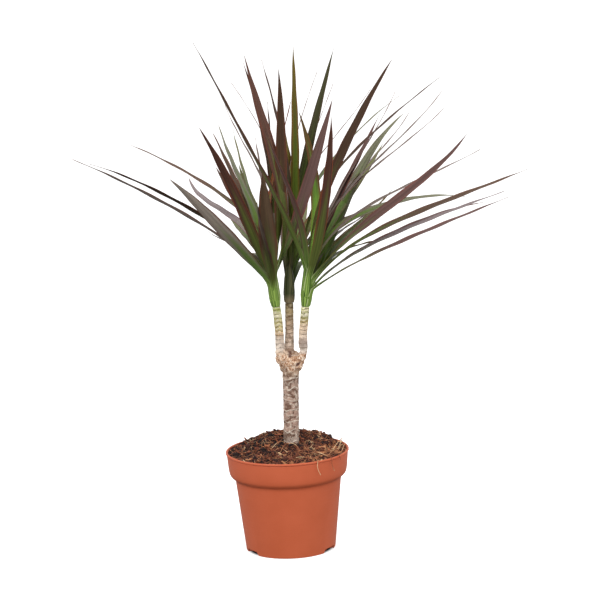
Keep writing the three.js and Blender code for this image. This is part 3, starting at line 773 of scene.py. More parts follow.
def dracaena_leaf():
    """Leathery leaf with a thin wax: satin, lined lengthwise by its veins, red at the margin."""
    material, tree, shader = blank("dracaena_leaf")
    spot = node(tree, "ShaderNodeUVMap", uv_map="leaf")
    axes = node(tree, "ShaderNodeSeparateXYZ", {0: spot})
    across, along = axes.outputs[0], axes.outputs[1]
    number, under, fresh, climb = [
        node(tree, "ShaderNodeAttribute", attribute_name=name).outputs["Fac"]
        for name in ("number", "under", "fresh", "climb")
    ]
    # the heart's colour is the green at the root, and its alpha is how far the green reaches
    blade, margin, heart = [
        node(tree, "ShaderNodeAttribute", attribute_name=name)
        for name in ("blade", "margin", "heart")
    ]
    # 1 at the margins and 0 on the rib
    off_rib = node(tree, "ShaderNodeMath", {0: across, 1: 0.5}, operation="SUBTRACT")
    off_rib = node(tree, "ShaderNodeMath", {0: off_rib}, operation="ABSOLUTE")
    off_rib = node(tree, "ShaderNodeMath", {0: off_rib, 1: 2}, operation="MULTIPLY")
    # a blade of 11 mm has about 20 veins, 0.55 mm apart, and 4 broader streaks
    grid = node(tree, "ShaderNodeCombineXYZ", {0: across, 1: along, 2: number})
    vein_at = node(tree, "ShaderNodeMapping", {"Vector": grid, "Scale": (40, 2.5, 37)})
    veins = node(tree, "ShaderNodeTexNoise", {"Vector": vein_at, "Scale": 1, "Detail": 1})
    streak_at = node(tree, "ShaderNodeMapping", {"Vector": grid, "Scale": (9, 2.2, 53)})
    streaks = node(tree, "ShaderNodeTexNoise",
                   {"Vector": streak_at, "Scale": 1, "Detail": 4, "Roughness": 0.6})
    wander = node(tree, "ShaderNodeMapRange", {0: streaks, 1: 0.3, 2: 0.7, 3: -0.22, 4: 0.22})
    # the margin's colour takes the outer eighth
    near_edge = node(tree, "ShaderNodeMath", {0: off_rib, 1: wander}, operation="ADD")
    edge = node(tree, "ShaderNodeMapRange", {0: near_edge, 1: 0.72, 2: 0.98, 3: 0.0, 4: 1.0})
    body = node(tree, "ShaderNodeMix", {0: edge, MIX_A: blade, MIX_B: margin}, data_type="RGBA")
    # the green rises from the root, and further along the rib
    reach = node(tree, "ShaderNodeMapRange",
                 {0: off_rib, 1: 0.0, 2: 1.0, 3: 1.15, 4: 0.55}, interpolation_type="SMOOTHSTEP")
    reach = node(tree, "ShaderNodeMath",
                 {0: reach, 1: heart.outputs["Alpha"]}, operation="MULTIPLY")
    left_over = node(tree, "ShaderNodeMath", {0: reach, 1: along}, operation="SUBTRACT")
    left_over = node(tree, "ShaderNodeMath",
                     {0: wander, 1: 0.25, 2: left_over}, operation="MULTIPLY_ADD")
    rise = node(tree, "ShaderNodeMapRange",
                {0: left_over, 1: -0.16, 2: 0.22, 3: 0.0, 4: 1.0}, interpolation_type="SMOOTHSTEP")
    greened = node(tree, "ShaderNodeMix", {0: rise, MIX_A: body, MIX_B: heart}, data_type="RGBA")
    # the sheath at the root is streaked: yellow green while it is fresh, dark olive and brown
    # when it is old, and its rim is pale or black
    young = node(tree, "ShaderNodeMapRange",
                 {0: along, 1: 0.035, 2: 0.12, 3: 1.0, 4: 0.0}, interpolation_type="SMOOTHSTEP")
    striped = node(tree, "ShaderNodeMapRange", {0: streaks, 1: 0.4, 2: 0.6, 3: 0.0, 4: 1.0})
    new_strap = node(tree, "ShaderNodeMix", {0: striped, MIX_A: linear("#4a662a"),
                                             MIX_B: linear("#8ba650")}, data_type="RGBA")
    weathered = node(tree, "ShaderNodeMix", {0: number, MIX_A: linear("#55653a"),
                                             MIX_B: linear("#7c5e54")}, data_type="RGBA")
    old_strap = node(tree, "ShaderNodeMix",
                     {0: striped, MIX_A: linear("#363a24"), MIX_B: weathered}, data_type="RGBA")
    strap = node(tree, "ShaderNodeMix",
                 {0: fresh, MIX_A: old_strap, MIX_B: new_strap}, data_type="RGBA")
    rimmed = node(tree, "ShaderNodeMapRange", {0: off_rib, 1: 0.8, 2: 0.96, 3: 0.0, 4: 0.9})
    rim = node(tree, "ShaderNodeMix",
               {0: fresh, MIX_A: linear("#1b1912"), MIX_B: linear("#c2cc98")}, data_type="RGBA")
    clasp = node(tree, "ShaderNodeMix", {0: rimmed, MIX_A: strap, MIX_B: rim}, data_type="RGBA")
    # old sheaths have dried at the foot to the colour of the bark under them
    old = node(tree, "ShaderNodeMapRange", {0: fresh, 1: 0.0, 2: 1.0, 3: 1.0, 4: 0.0})
    dried = node(tree, "ShaderNodeMapRange", {0: climb, 1: 3.0, 2: 9.0, 3: old, 4: 0.0})
    clasp = node(tree, "ShaderNodeMix",
                 {0: dried, MIX_A: clasp, MIX_B: linear("#8d7d62")}, data_type="RGBA")
    sheathed = node(tree, "ShaderNodeMix",
                    {0: young, MIX_A: greened, MIX_B: clasp}, data_type="RGBA")
    # the last few millimetres are dry and brown
    dry = node(tree, "ShaderNodeMapRange", {0: along, 1: 0.975, 2: 0.995, 3: 0.0, 4: 0.7})
    tipped = node(tree, "ShaderNodeMix",
                  {0: dry, MIX_A: sheathed, MIX_B: linear("#6e5240")}, data_type="RGBA")
    lit = node(tree, "ShaderNodeMapRange", {0: streaks, 1: 0.28, 2: 0.72, 3: 0.66, 4: 1.34})
    lined = node(tree, "ShaderNodeVectorMath", {0: tipped, "Scale": lit}, operation="SCALE")
    fine = node(tree, "ShaderNodeMapRange", {0: veins, 1: 0.3, 2: 0.7, 3: 0.9, 4: 1.1})
    veined = node(tree, "ShaderNodeVectorMath", {0: lined, "Scale": fine}, operation="SCALE")
    # painted light: undersides, which face away from the lamps, are painted up to 12% paler
    paler_under = node(tree, "ShaderNodeMapRange", {0: under, 1: 0, 2: 1, 3: 1.0, 4: 1.12})
    sided = node(tree, "ShaderNodeVectorMath", {0: veined, "Scale": paler_under}, operation="SCALE")
    rough = node(tree, "ShaderNodeMapRange", {0: streaks, 1: 0.3, 2: 0.7, 3: 0.38, 4: 0.52})
    # each vein stands about 0.06 mm proud, and is drawn twice as deep so that it shows
    raised = node(tree, "ShaderNodeBump",
                  {"Strength": 0.35, "Distance": 0.12 * MM, "Height": veins})
    wire(tree, shader, {
        "Base Color": sided,
        "Roughness": rough,
        "IOR": 1.45,
        "Specular IOR Level": 0.16,
        "Normal": raised,
    })
    return material


# ---- Pot ----


def pot_skin(low, high):
    """The pot's outer skin between two heights, without its bead: cone, shoulder and collar."""
    cone_r = lerp(POT_FOOT_R, POT_BODY_TOP_R, low / POT_BODY_TOP_Z)
    up = (high - COLLAR_FOOT_Z) / (POT_HEIGHT - COLLAR_FOOT_Z)
    bends = [(POT_BODY_TOP_R + out, POT_BODY_TOP_Z + above) for out, above in SHOULDER]
    return [
        (cone_r, low),
        (POT_BODY_TOP_R, POT_BODY_TOP_Z),
        *bends,
        (COLLAR_FOOT_R, COLLAR_FOOT_Z),
        (lerp(COLLAR_FOOT_R, COLLAR_TOP_R, up), high),
    ]


def inset(profile, by):
    """A rising profile moved inwards, each point square to the line through its neighbours."""
    moved = []
    for i, (r, z) in enumerate(profile):
        r0, z0 = profile[max(i - 1, 0)]
        r1, z1 = profile[min(i + 1, len(profile) - 1)]
        along = Vector((r1 - r0, z1 - z0)).normalized()
        moved.append((r - along.y * by, z + along.x * by))
    return moved


def notch_cutter(bearing):
    """A block that reaches in under the pot's edge, spun over the notch's span."""
    outside = POT_FOOT_R + 2
    section = [
        (NOTCH_INNER_R, -2),
        (outside, -2),
        (outside, NOTCH_HEIGHT),
        (NOTCH_INNER_R, NOTCH_HEIGHT),
        (NOTCH_INNER_R, -2),
    ]
    cutter = spun("notch", section, 16, math.radians(NOTCH_SPAN))
    bpy.ops.object.mode_set(mode="EDIT")
    bpy.ops.mesh.select_all(action="SELECT")
    bpy.ops.mesh.fill_holes(sides=8)
    bpy.ops.mesh.select_all(action="SELECT")
    bpy.ops.mesh.normals_make_consistent(inside=False)
    bpy.ops.object.mode_set(mode="OBJECT")
    cutter.data.transform(Matrix.Rotation(math.radians(NOTCH_SPAN / 2), 4, "Z"))
    points = points_of(cutter)
    for point in points:
        if point[2] > 0:
            radius = math.hypot(point[0], point[1])
            turn = math.atan2(point[1], point[0]) * NOTCH_TOP_SHARE
            point[:2] = radius * math.cos(turn), radius * math.sin(turn)
    set_points(cutter, points)
    cutter.data.transform(Matrix.Rotation(math.radians(bearing), 4, "Z"))
    return cutter


def make_pot(settings):
    """The pot: one profile from the middle of the foot, up the outside and down the inside."""
    skin = pot_skin(0, POT_HEIGHT - BEAD_HEIGHT)
    outer = [(r, z, cut) for (r, z), cut in zip(skin[:-1], OUTER_ROUNDS)]
    neck_r, neck_z = skin[-1]
    groove = [(neck_r + out, neck_z + up, cut) for out, up, cut in GROOVE]
    inner = inset(pot_skin(FLOOR + 1, POT_HEIGHT - 1), WALL)
    inside = [(r, z, cut) for (r, z), cut in zip(inner[::-1], INNER_ROUNDS)]
    corners = [
        (0, FOOT_RECESS, 0),
        (FOOT_RECESS_R - RECESS_SLOPE, FOOT_RECESS, 0.8),
        (FOOT_RECESS_R, 0, 0.6),
        *outer,
        *groove,
        (BEAD_R, neck_z + BEAD_FOOT_UP, BEAD_ROUNDS[0]),
        (BEAD_R, POT_HEIGHT, BEAD_ROUNDS[1]),
        (inside[0][0], POT_HEIGHT, BEAD_ROUNDS[2]),
        *inside[1:-1],
        (inside[-1][0], FLOOR, 1.5),
        (0, FLOOR, 0),
    ]
    pot = spun("pot_shell", rounded(corners), settings.sides)
    for bearing in NOTCH_AT:
        cutter = notch_cutter(bearing)
        modify(pot, "BOOLEAN", operation="DIFFERENCE", object=cutter, solver="EXACT")
        bpy.data.objects.remove(cutter)
    choose(pot)
    bpy.ops.object.shade_smooth_by_angle(angle=math.radians(35))
    hand_over(pot, moulded_polypropylene(settings.colour), "pot")


# ---- Root ball ----


def soil_height(x, y):
    """The heap's surface: a low dome, mounds behind the stump, and soft lumps."""
    share = min(1, math.hypot(x, y) / COLLAR_FOOT_R)
    mounds = sum(
        high * math.exp(-((x - middle_x) ** 2 + (y - middle_y) ** 2) / (2 * spread ** 2))
        for middle_x, middle_y, spread, high in SOIL_MOUNDS
    )
    lumps = sum(high * math.sin(ax * x + ay * y + start) for ax, ay, start, high in SOIL_LUMPS)
    rise = SOIL_DOME * (1 - share ** 2) + mounds + lumps
    return SOIL_EDGE_Z + rise * smooth((1 - share) / SOIL_SHORE)


def crumbled(x, y):
    """How far the loose surface stands over or under the heap's own height."""
    spot = Vector((x, y, 3.1))
    rough = sum(high * noise.noise(spot / wide + Vector(start)) for wide, high, start in CRUMBLES)
    return (rough - CRUMBLE_SINK) * smooth((INSIDE_R - math.hypot(x, y)) / CRUMBLE_SHORE)


def make_soil_bed():
    """The root ball: it fills the pot up to its shoulder, and its top is the crumbling heap."""
    side = inset(pot_skin(FLOOR + 1, SOIL_EDGE_Z), WALL + GAP)
    foot_r = side[0][0]
    edge_r = side[-1][0]
    side[-1] = (edge_r, SOIL_EDGE_Z)
    rings = [(edge_r * (1 - (i + 1) / SOIL_RINGS), SOIL_EDGE_Z) for i in range(SOIL_RINGS)]
    profile = [(0, FLOOR + GAP), (foot_r - 1, FLOOR + GAP), *side, *rings]
    bed = spun("soil_bed", profile, SOIL_SIDES)
    points = points_of(bed) / MM
    for point in points:
        if point[2] > SOIL_EDGE_Z - 0.001:
            x, y = point[:2]
            point[2] = soil_height(x, y) + crumbled(x, y)
    set_points(bed, points * MM)
    choose(bed)
    bpy.ops.object.shade_smooth()
    hand_over(bed, coir_and_peat(), "soil")


def crumb_shape(name, subdivisions, seed):
    """A broken lump about a millimetre in radius, to be copied."""
    deselect()
    bpy.ops.mesh.primitive_ico_sphere_add(subdivisions=subdivisions, radius=1)
    crumb = bpy.context.object
    crumb.name = name
    points = points_of(crumb)
    for point in points:
        spot = Vector(point)
        point *= 1 + 0.45 * noise.noise(spot * 1.3 + Vector((seed, 0, 0)))
    set_points(crumb, points)
    return crumb


def bits_tone_and_shade(x, y):
    """How pale the bits are at a place: darker behind and to the left, rusty in front, and darker
    still with painted shade right in front of the stump.
    """
    tone = 0.53 + 0.12 * x / BITS_SPAN - 0.12 * y / BITS_SPAN
    tone += 0.4 * noise.noise(Vector((x, y, 0)) / 13)
    # darker patches: the one in front of the stump is painted shade
    for (dark_x, dark_y), area, darker in DARK_AND_SHADED_PATCHES:
        tone -= darker * math.exp(-((x - dark_x) ** 2 + (y - dark_y) ** 2) / area)
    return tone


def scattered(masters, count, name):
    """Copies of the masters strewn over the heap, as the table of bits says, and joined."""
    bits = BITS[name]
    rng = random.Random(bits["seed"])
    copies = []
    while len(copies) < count:
        x, y = rng.uniform(-BITS_SPAN, BITS_SPAN), rng.uniform(-BITS_SPAN, BITS_SPAN)
        stump = math.hypot(x - STUMP_LINE[2][0], y - STUMP_LINE[2][1])
        size = lerp(*bits["size"], rng.random() ** SMALLNESS)
        if math.hypot(x, y) > BITS_R - size or stump < STUMP_R:
            continue
        height = soil_height(x, y) + crumbled(x, y) + bits["lift"] * size
        turn = Matrix.Rotation(rng.uniform(0, TAU), 4, (0.3, 0.2, 1))
        tilt = Matrix.Rotation(rng.uniform(-0.5, 0.5), 4, "X")
        longer = rng.uniform(0.8, 1.3)
        flatter = rng.uniform(*bits["flat"])
        squash = Matrix.Diagonal((size * longer, size, size * flatter, 1))
        place = Matrix.Translation((x, y, height)) @ turn @ tilt @ squash
        twin = copied(masters[len(copies) % len(masters)])
        twin.data.transform(Matrix.Scale(MM, 4) @ place)
        set_value(twin, "tone", min(1, max(0, bits_tone_and_shade(x, y) + rng.gauss(0, 0.2))))
        copies.append(twin)
    for master in masters:
        bpy.data.objects.remove(master)
    return joined(copies, name)


CRUMB_TONES = [
    (0.0, "#140b0b"), (0.32, "#271412"), (0.52, "#47251d"), (0.78, "#7c4430"), (1.0, "#b0774e"),
]
FIBRE_TONES = [(0.0, "#64301f"), (0.45, "#9a5636"), (0.8, "#cb9064"), (1.0, "#ecc89c")]


def make_crumbs(settings):
    """Small crumbs and larger clods of peat."""
    peat = coir_bits("peat_crumb", CRUMB_TONES, 0.9)
    small = [crumb_shape("small", 1, seed) for seed in (1, 5, 9, 13)]
    hand_over(scattered(small, settings.crumbs, "peat_crumbs"), peat)
    large = [crumb_shape("large", 2, seed) for seed in (3, 7, 17)]
    hand_over(scattered(large, settings.clods, "peat_clods"), peat)


def make_chips(settings):
    """Flat chips of husk: a box, longer than wide, subdivided, bowed a little and broken."""
    deselect()
    bpy.ops.mesh.primitive_cube_add(size=2)
    chip = bpy.context.object
    bpy.ops.object.mode_set(mode="EDIT")
    bpy.ops.mesh.select_all(action="SELECT")
    bpy.ops.transform.resize(value=CHIP_SIZE)
    bpy.ops.mesh.subdivide(number_cuts=1)
    bpy.ops.object.mode_set(mode="OBJECT")
    points = points_of(chip)
    for point in points:
        point[2] += 0.12 * point[0] ** 2 + 0.25 * noise.noise(Vector(point) * 2)
        point[1] += 0.3 * noise.noise(Vector(point) * 1.7 + Vector((4, 4, 4)))
    set_points(chip, points)
    chips = scattered([chip], settings.chips, "husk_chips")
    hand_over(chips, coir_bits("coconut_husk", FIBRE_TONES, 0.8))


def wires(name, paths, radius):
    """Thin square wires along the paths, each a list of points, from one bevelled curve."""
    curve = new_curve(name, radius, 0, 3)
    for path in paths:
        spline = curve.splines.new("NURBS")
        spline.points.add(len(path) - 1)
        spline.order_u = 3
        spline.use_endpoint_u = True
        for point, place in zip(spline.points, path):
            point.co = (*[c * MM for c in place], 1)
    return meshed(name, curve)


def fibre_path(rng, x, y, length, lift):
    """A loose fibre: it wanders over the heap and its middle stands up a little."""
    heading = rng.uniform(0, TAU)
    path = []
    for i in range(FIBRE_STEPS + 1):
        share = i / FIBRE_STEPS
        bend = noise.noise(Vector((x, y, i * 0.7)) / 5) * 1.6
        if i:
            x += length / FIBRE_STEPS * math.cos(heading + bend)
            y += length / FIBRE_STEPS * math.sin(heading + bend)
        radius = math.hypot(x, y)
        if radius > BITS_R:
            x, y = x * BITS_R / radius, y * BITS_R / radius
        arch = lift * 4 * share * (1 - share)
        path.append((x, y, soil_height(x, y) + crumbled(x, y) + 0.25 + arch))
    return path


# Fibres that can be told apart in front of the stump, and over the lip on the right.
ARCHES = [
    [
        (-6.5, -26, 102), (-5, -26, 107), (0, -26, 110.8), (5.5, -26, 110.5), (9.5, -26, 108),
        (12.5, -26, 102),
    ],
    [(-17.5, -26, 102), (-14, -26, 107.5), (-9.5, -24, 111), (-5, -19, 112), (-2, -14, 108)],
    [(-14, -24, 101.5), (-9, -25, 106.5), (-4, -27, 106), (0, -29, 102)],
    [(20, -30, 100.5), (26, -36, 103), (33, -40, 103), (40, -41, 99)],
    [(22, -46, 99.6), (26, -50, 101.5), (29, -54, 99.2), (27.5, -55.2, 92), (31, -54.6, 85)],
    [(36, -36, 100), (40, -41, 102.5), (42.5, -44.5, 99), (42, -44.5, 91), (44.5, -44, 86)],
    [(40, -22, 100), (46, -30, 103), (50, -34, 99.5), (51, -34.5, 94)],
    [(8, -40, 99.5), (14, -46, 102), (20, -50, 101), (26, -49, 99)],
    [(38, -38, 99), (43, -36, 104), (48, -31, 105), (51, -24, 100)],
    [(47, -28, 99), (51, -22, 104.5), (54, -12, 105), (55, -4, 99)],
    [(52, -20, 98), (55.5, -12, 103), (57, 0, 103.5), (56, 10, 99)],
    [(44, -20, 101), (49, -12, 106), (53, 0, 106.5), (54, 12, 101)],
    [(50, -8, 100), (54, 2, 106), (55, 14, 105), (52, 22, 100)],
]


def make_fibres(settings):
    """The arches, and the loose fibres in three thicknesses."""
    rng = random.Random(FIBRE_SEED)
    loose = []
    while len(ARCHES) + len(loose) < settings.fibres:
        x, y = rng.uniform(-FIBRE_SPAN, FIBRE_SPAN), rng.uniform(-FIBRE_SPAN, FIBRE_SPAN)
        stump = math.hypot(x - STUMP_IN_SOIL[0], y - STUMP_IN_SOIL[1])
        if math.hypot(x, y) > FIBRE_SPAN or stump < STUMP_R + 1:
            continue
        length = rng.uniform(*FIBRE_LENGTH)
        loose.append(fibre_path(rng, x, y, length, rng.uniform(*FIBRE_LIFT)))
    bundles = [(ARCHES, ARCH_RADIUS, ARCH_PALE)]
    for i, radius in enumerate(FIBRE_RADII):
        bundles.append((loose[i::len(FIBRE_RADII)], radius, FIBRE_PALE))
    pieces = []
    for i, (paths, radius, pale) in enumerate(bundles):
        piece = wires(f"fibres_{i}", paths, radius)
        points = points_of(piece) / MM
        tones = [pale + 0.9 * noise.noise(Vector(p) / 9 + Vector((i * 7, 0, 0))) for p in points]
        set_value(piece, "tone", np.clip(tones, 0, 1))
        pieces.append(piece)
    fibres = joined(pieces, "coir_fibres")
    choose(fibres)
    bpy.ops.object.shade_smooth()
    hand_over(fibres, coir_bits("coir_fibre", FIBRE_TONES, 0.55))


# ---- Stump, knob and canes ----


def limb(name, line, radii):
    """A round limb along a smooth line, with a radius at each of its points."""
    curve = new_curve(name, 1, 6, 10)
    spline = curve.splines.new("BEZIER")
    spline.bezier_points.add(len(line) - 1)
    for point, place, radius in zip(spline.bezier_points, line, radii):
        point.co = [c * MM for c in place]
        point.radius = radius
        point.handle_left_type = "AUTO"
        point.handle_right_type = "AUTO"
    return meshed(name, curve)


def make_trunk_body(settings):
    """Stump, canes and knob, joined into one smooth skin."""
    stump = limb("stump", STUMP_LINE, [STUMP_R + out for out in STUMP_SPREAD])
    canes = []
    for name, head in HEADS.items():
        stem = Vector(head["lean"]).normalized()
        end = Vector(head["foot"]) - stem * GAP
        before = end - stem * CANE_APPROACH
        line = [*CANE_LINES[name], before, end]
        canes.append(limb(f"cane_{name}", line, [CANE_R + out for out in CANE_SPREAD]))
    deselect()
    bpy.ops.mesh.primitive_uv_sphere_add(segments=48, ring_count=32, radius=1)
    knob = bpy.context.object
    points = points_of(knob)
    for point in points:
        x, y, z = point
        lumps = 1 + 0.07 * math.sin(5 * x + 2 * z) + 0.05 * math.sin(3 * y + 6 * z)
        lumps += 0.05 * math.sin(7 * x - 4 * y)
        wider = 1 + KNOB_FLARE * z
        width, depth, height = KNOB_SIZE
        local = Vector((width * x * wider, depth * y * wider, height * z)) * lumps
        point[:] = (local + Vector(KNOB_MIDDLE)) * MM
    set_points(knob, points)
    trunk = joined([stump, *canes, knob], "trunk_wood")
    modify(trunk, "REMESH", mode="VOXEL", voxel_size=settings.voxel)
    modify(trunk, "SMOOTH", factor=0.5, iterations=4)
    return trunk


def ladder(z, bearing, gap, wander):
    """How many leaf scars lie below a point: they zigzag round the stem and wander up and down."""
    zigzag = 1.3 * abs(((bearing / TAU * 3) % 1) - 0.5) * 2
    spot = Vector((math.cos(bearing) * 1.2, math.sin(bearing) * 1.2, z / 13))
    return (z + zigzag * min(1, wander) + noise.noise(spot) * wander) / gap


def bump_at(spot, place, radius):
    """1 at a place and less round it, down to nothing about two radii away."""
    return math.exp(-(spot - Vector(place)).length_squared / (2 * radius ** 2))


# Hollows and swellings on and round the knob: the place, the radius, how far out, and how dark
# the painted shade in a hollow is.
KNOB_SPOTS = [
    ((6, -4.2, 192.4), 2.6, -3.6, 1),
    ((6, -0.8, 195.4), 3.2, -4, 1),
    ((6.4, 4.4, 194.8), 2.6, -1.5, 1),
    ((11.4, 2, 194.6), 2.6, -4.4, 0),
    ((11.8, 7, 195), 2.6, -3.6, 0),
    ((-4.2, 1, 179.5), 3, -2.2, 0),
    ((-7, 2.5, 193), 2.2, 0.9, 0),
    ((13.4, -4, 182.3), 1.8, -1.4, 1),
    ((16, -2.5, 184), 1.5, -1.2, 0.9),
    ((10.5, -4.2, 188), 1.8, -1.1, 0.15),
    ((1, -1.2, 176.8), 1.8, -0.6, 0.7),
    ((-1.5, -1, 188.5), 3.6, 0.9, 0),
    ((17.5, -1, 188), 2.8, 0.9, 0),
    ((21, 1.5, 192), 1.4, 0.7, 0),
]

CANE_RING_GAP = 4.2
# How far the scars' lines wander up and down, and how thick they are as a share of their gap.
STUMP_WANDER = 3
CANE_WANDER = 0.9
STUMP_LINE_SHARE = 0.06
CANE_LINE_SHARE = 0.14
# Where the young bark with its cream lines starts on each cane, how plain they are, and how
# brown its patches are.
YOUNG_BARK = {"left": (212, 1, 0.25), "middle": (222, 0.3, 0.75), "right": (220, 1, 0.25)}

# The bark's colours up each limb: heights, and the colours that it blends between.
COATS = {
    "stump": [
        (98, "#ab9e95"), (112, "#a78f7f"), (122, "#ac8e7f"), (150, "#b29484"), (168, "#b09686"),
        (176, "#b59a82"),
    ],
    "left": [
        (192, "#e6cbb0"), (198, "#dfcfc0"), (209, "#dccab8"), (213, "#e0bd94"), (218, "#cfbd88"),
        (228, "#c6c184"), (230, "#f4efc8"), (233, "#f2ecbe"), (235, "#bcc476"), (239, "#b4c068"),
    ],
    "middle": [
        (192, "#c4a38c"), (200, "#d9c6b4"), (214, "#cdb69f"), (222, "#b39a80"), (230, "#a08a68"),
        (240, "#85754f"),
    ],
    "right": [
        (192, "#ede4dc"), (197, "#e2d3c4"), (200, "#bcaa9d"), (206, "#baa698"), (209, "#e9d4bf"),
        (221, "#eacfb0"), (224, "#d0bd84"), (228, "#a8a268"), (231, "#f4f2cc"), (234, "#b8b96a"),
        (237, "#f2eebc"),
    ],
}


def coat_at(stops, heights):
    """The bark's colour at each of the heights, as rows of linear RGB."""
    places = [place for place, _ in stops]
    rows = [linear(colour) for _, colour in stops]
    return np.transpose([np.interp(heights, places, [row[i] for row in rows]) for i in range(3)])


def bark_at(x, y, z, stump_gap):
    """The bark at a point: its limb, how far it stands out, its colour's height and its marks."""
    spot = Vector((x, y, z))
    callus = risen(z, *CALLUS_FOOT) * (1 - risen(z, *CALLUS_TOP))
    wrinkle = noise.noise(Vector((x / 1.6, y / 1.6, z / 7))) * 0.2
    lump = noise.noise(spot / 3.4 + Vector((3, 1, 8))) * 0.8
    if z < CANES_FROM:
        on = "stump"
        bearing = math.atan2(y - STUMP_AXIS[1], x - STUMP_AXIS[0])
        level = ladder(z, bearing, stump_gap, STUMP_WANDER) + STUMP_FIRST_RING
        line, scar, ring, aged = STUMP_LINE_SHARE, 1 - callus, 0, 1
        out = wrinkle + lump * (0.35 + 0.8 * callus)
    else:
        on = min(HEADS, key=lambda name: (Vector(HEADS[name]["foot"]).xy - spot.xy).length)
        centre = HEADS[on]["foot"]
        bearing = math.atan2(y - centre[1], x - centre[0])
        level = ladder(z, bearing, CANE_RING_GAP, CANE_WANDER)
        line = CANE_LINE_SHARE
        young_from, scar, aged = YOUNG_BARK[on]
        scar *= risen(z, young_from, young_from + 3)
        ring = (1 - callus) * (0.6 + 0.4 * scar + noise.noise(spot / 2.5) * 0.8)
        out = wrinkle * 0.6 + lump * (0.2 + 0.6 * callus)
    spread = 1 - abs((level % 1) - 0.5) * 2
    out += (0.3 * scar - 0.2 * ring) * (1 - smooth(spread / (line * 4)))
    # how much painted shade darkens the knob's hollows
    pit_shade = 0
    for place, radius, push, dark in KNOB_SPOTS:
        share = bump_at(spot, place, radius)
        out += push * share
        pit_shade += dark * smooth(share * 1.4 - 0.25)
    under, shaded = STUMP_SHADE
    marks = {
        "level": level,
        "line": line,
        "scar": scar,
        "ring": max(0, ring),
        "callus": callus,
        "pit_shade": min(1, pit_shade),
        "shade": (shaded if z < under else 1) + lump * 0.12,
        "aged": aged,
    }
    return on, out * (1 - risen(z, *RELIEF_TOP)), z + noise.noise(spot / 3) * 1.6, marks


def make_trunk(settings):
    """The wood in one piece, with the bark's relief, its marks and its colours."""
    trunk = make_trunk_body(settings)
    points = points_of(trunk) / MM
    normals = np.empty(len(points) * 3, dtype="f")
    trunk.data.vertices.foreach_get("normal", normals)
    gap = settings.ring_gap / MM
    limbs, outward, heights, marks = zip(*[bark_at(x, y, z, gap) for x, y, z in points])
    relief = normals.reshape(-1, 3) * np.array(outward)[:, None]
    set_points(trunk, (points + relief) * MM)
    for name in marks[0]:
        set_value(trunk, name, [mark[name] for mark in marks])
    coat = np.ones((len(points), 4))
    for name, stops in COATS.items():
        on = np.array(limbs) == name
        coat[on, :3] = coat_at(stops, np.array(heights)[on])
    set_colour(trunk, "coat", coat)
    choose(trunk)
    bpy.ops.object.shade_smooth()
    hand_over(trunk, dracaena_bark(), "trunk")


# ---- Leafy heads ----


def width_share(t):
    """The share of its width that a blade has: narrow above the root, widest, then a point."""
    body = NECK + (1 - NECK) * smooth(t / WIDEST_AT) + CLASP * math.exp(-((t / CLASP_END) ** 2))
    past = min(1, max(0, (t - WIDEST_AT) / (1 - WIDEST_AT)))
    return body * (1 - past ** POINT_POWER)


def fold_at(t):
    """How far each half of a blade is folded up at t."""
    return math.radians(FOLD + FOLD_AT_ROOT * math.exp(-((t / FOLD_END) ** 2)))


def leaf_line(root, leaf):
    """The blade's middle line and its directions at t, from 0 at the root to 1 at the tip."""
    chord = leaf["tip"] - root
    side = UP.cross(chord).normalized()
    lift = chord.cross(side).normalized()

    def at(t):
        bow = leaf["bow"] * (1 - (1 - t) ** BOW_POWER - t) / BOW_PEAK
        bow_slope = leaf["bow"] * (BOW_POWER * (1 - t) ** (BOW_POWER - 1) - 1) / BOW_PEAK
        sag = leaf["sag"] * SAG_SCALE * (t ** 4 - t ** 3)
        sag_slope = leaf["sag"] * SAG_SCALE * (4 * t ** 3 - 3 * t ** 2)
        middle = root + chord * t + lift * (bow + sag) + side * leaf["swing"] * 4 * t * (1 - t)
        ahead = chord + lift * (bow_slope + sag_slope) + side * leaf["swing"] * 4 * (1 - 2 * t)
        ahead.normalize()
        across = (side - ahead * ahead.dot(side)).normalized()
        above = ahead.cross(across)
        turn = math.radians(leaf["turn"]) * smooth(t / TURNED_BY)
        return (
            middle,
            across * math.cos(turn) + above * math.sin(turn),
            above * math.cos(turn) - across * math.sin(turn),
        )

    return at


def draws(seed):
    """The repeatable draw of numbers from 0 to 1 that the fans' rule is set by."""
    state = seed
    while True:
        state = state * 16807 % 2147483647
        yield state / 2147483647


def fan_of(head, fan):
    """Leaves set out by rule behind a head, from the lowest to the highest."""
    draw = draws(fan["seed"])
    leaves = []
    for i in range(fan["count"]):
        share = i / (fan["count"] - 1)
        place = (i * FAN_STRIDE + FAN_STRIDE / 2) % 1
        bearing = math.radians(lerp(fan["from"], fan["to"], place))
        climb = math.radians(lerp(fan["low"], fan["high"], share))
        reach = lerp(*FAN_LENGTH, next(draw))
        level = math.cos(climb)
        aim = Vector((math.cos(bearing) * level, math.sin(bearing) * level, math.sin(climb)))
        leaves.append({
            "tip": Vector(head["foot"]) + aim * reach,
            "bow": lerp(*FAN_BOW, next(draw)),
            "sag": FAN_SAG,
            "swing": 0,
            "width": lerp(*FAN_WIDTH, next(draw)),
            "turn": FAN_TURN * (2 * next(draw) - 1),
            "colouring": FAN_COLOURING[i % len(FAN_COLOURING)],
        })
    return leaves


def leaves_of(name):
    """A head's leaves, those of its fan first."""
    keys = ("tip", "bow", "sag", "swing", "width", "turn", "colouring")
    rows = [dict(zip(keys, (Vector(row[0]), *row[1:]))) for row in LEAVES[name]]
    return [*fan_of(HEADS[name], FANS[name]), *rows]


def shoot_radius(height):
    """A shoot's radius at a height over its foot: swollen over the foot, then tapered."""
    along = min(1, max(0, height / SHOOT_LENGTH))
    return SHOOT_R * (1 + SHOOT_SWELL * along * (1 - along) - SHOOT_TAPER * along ** 3)


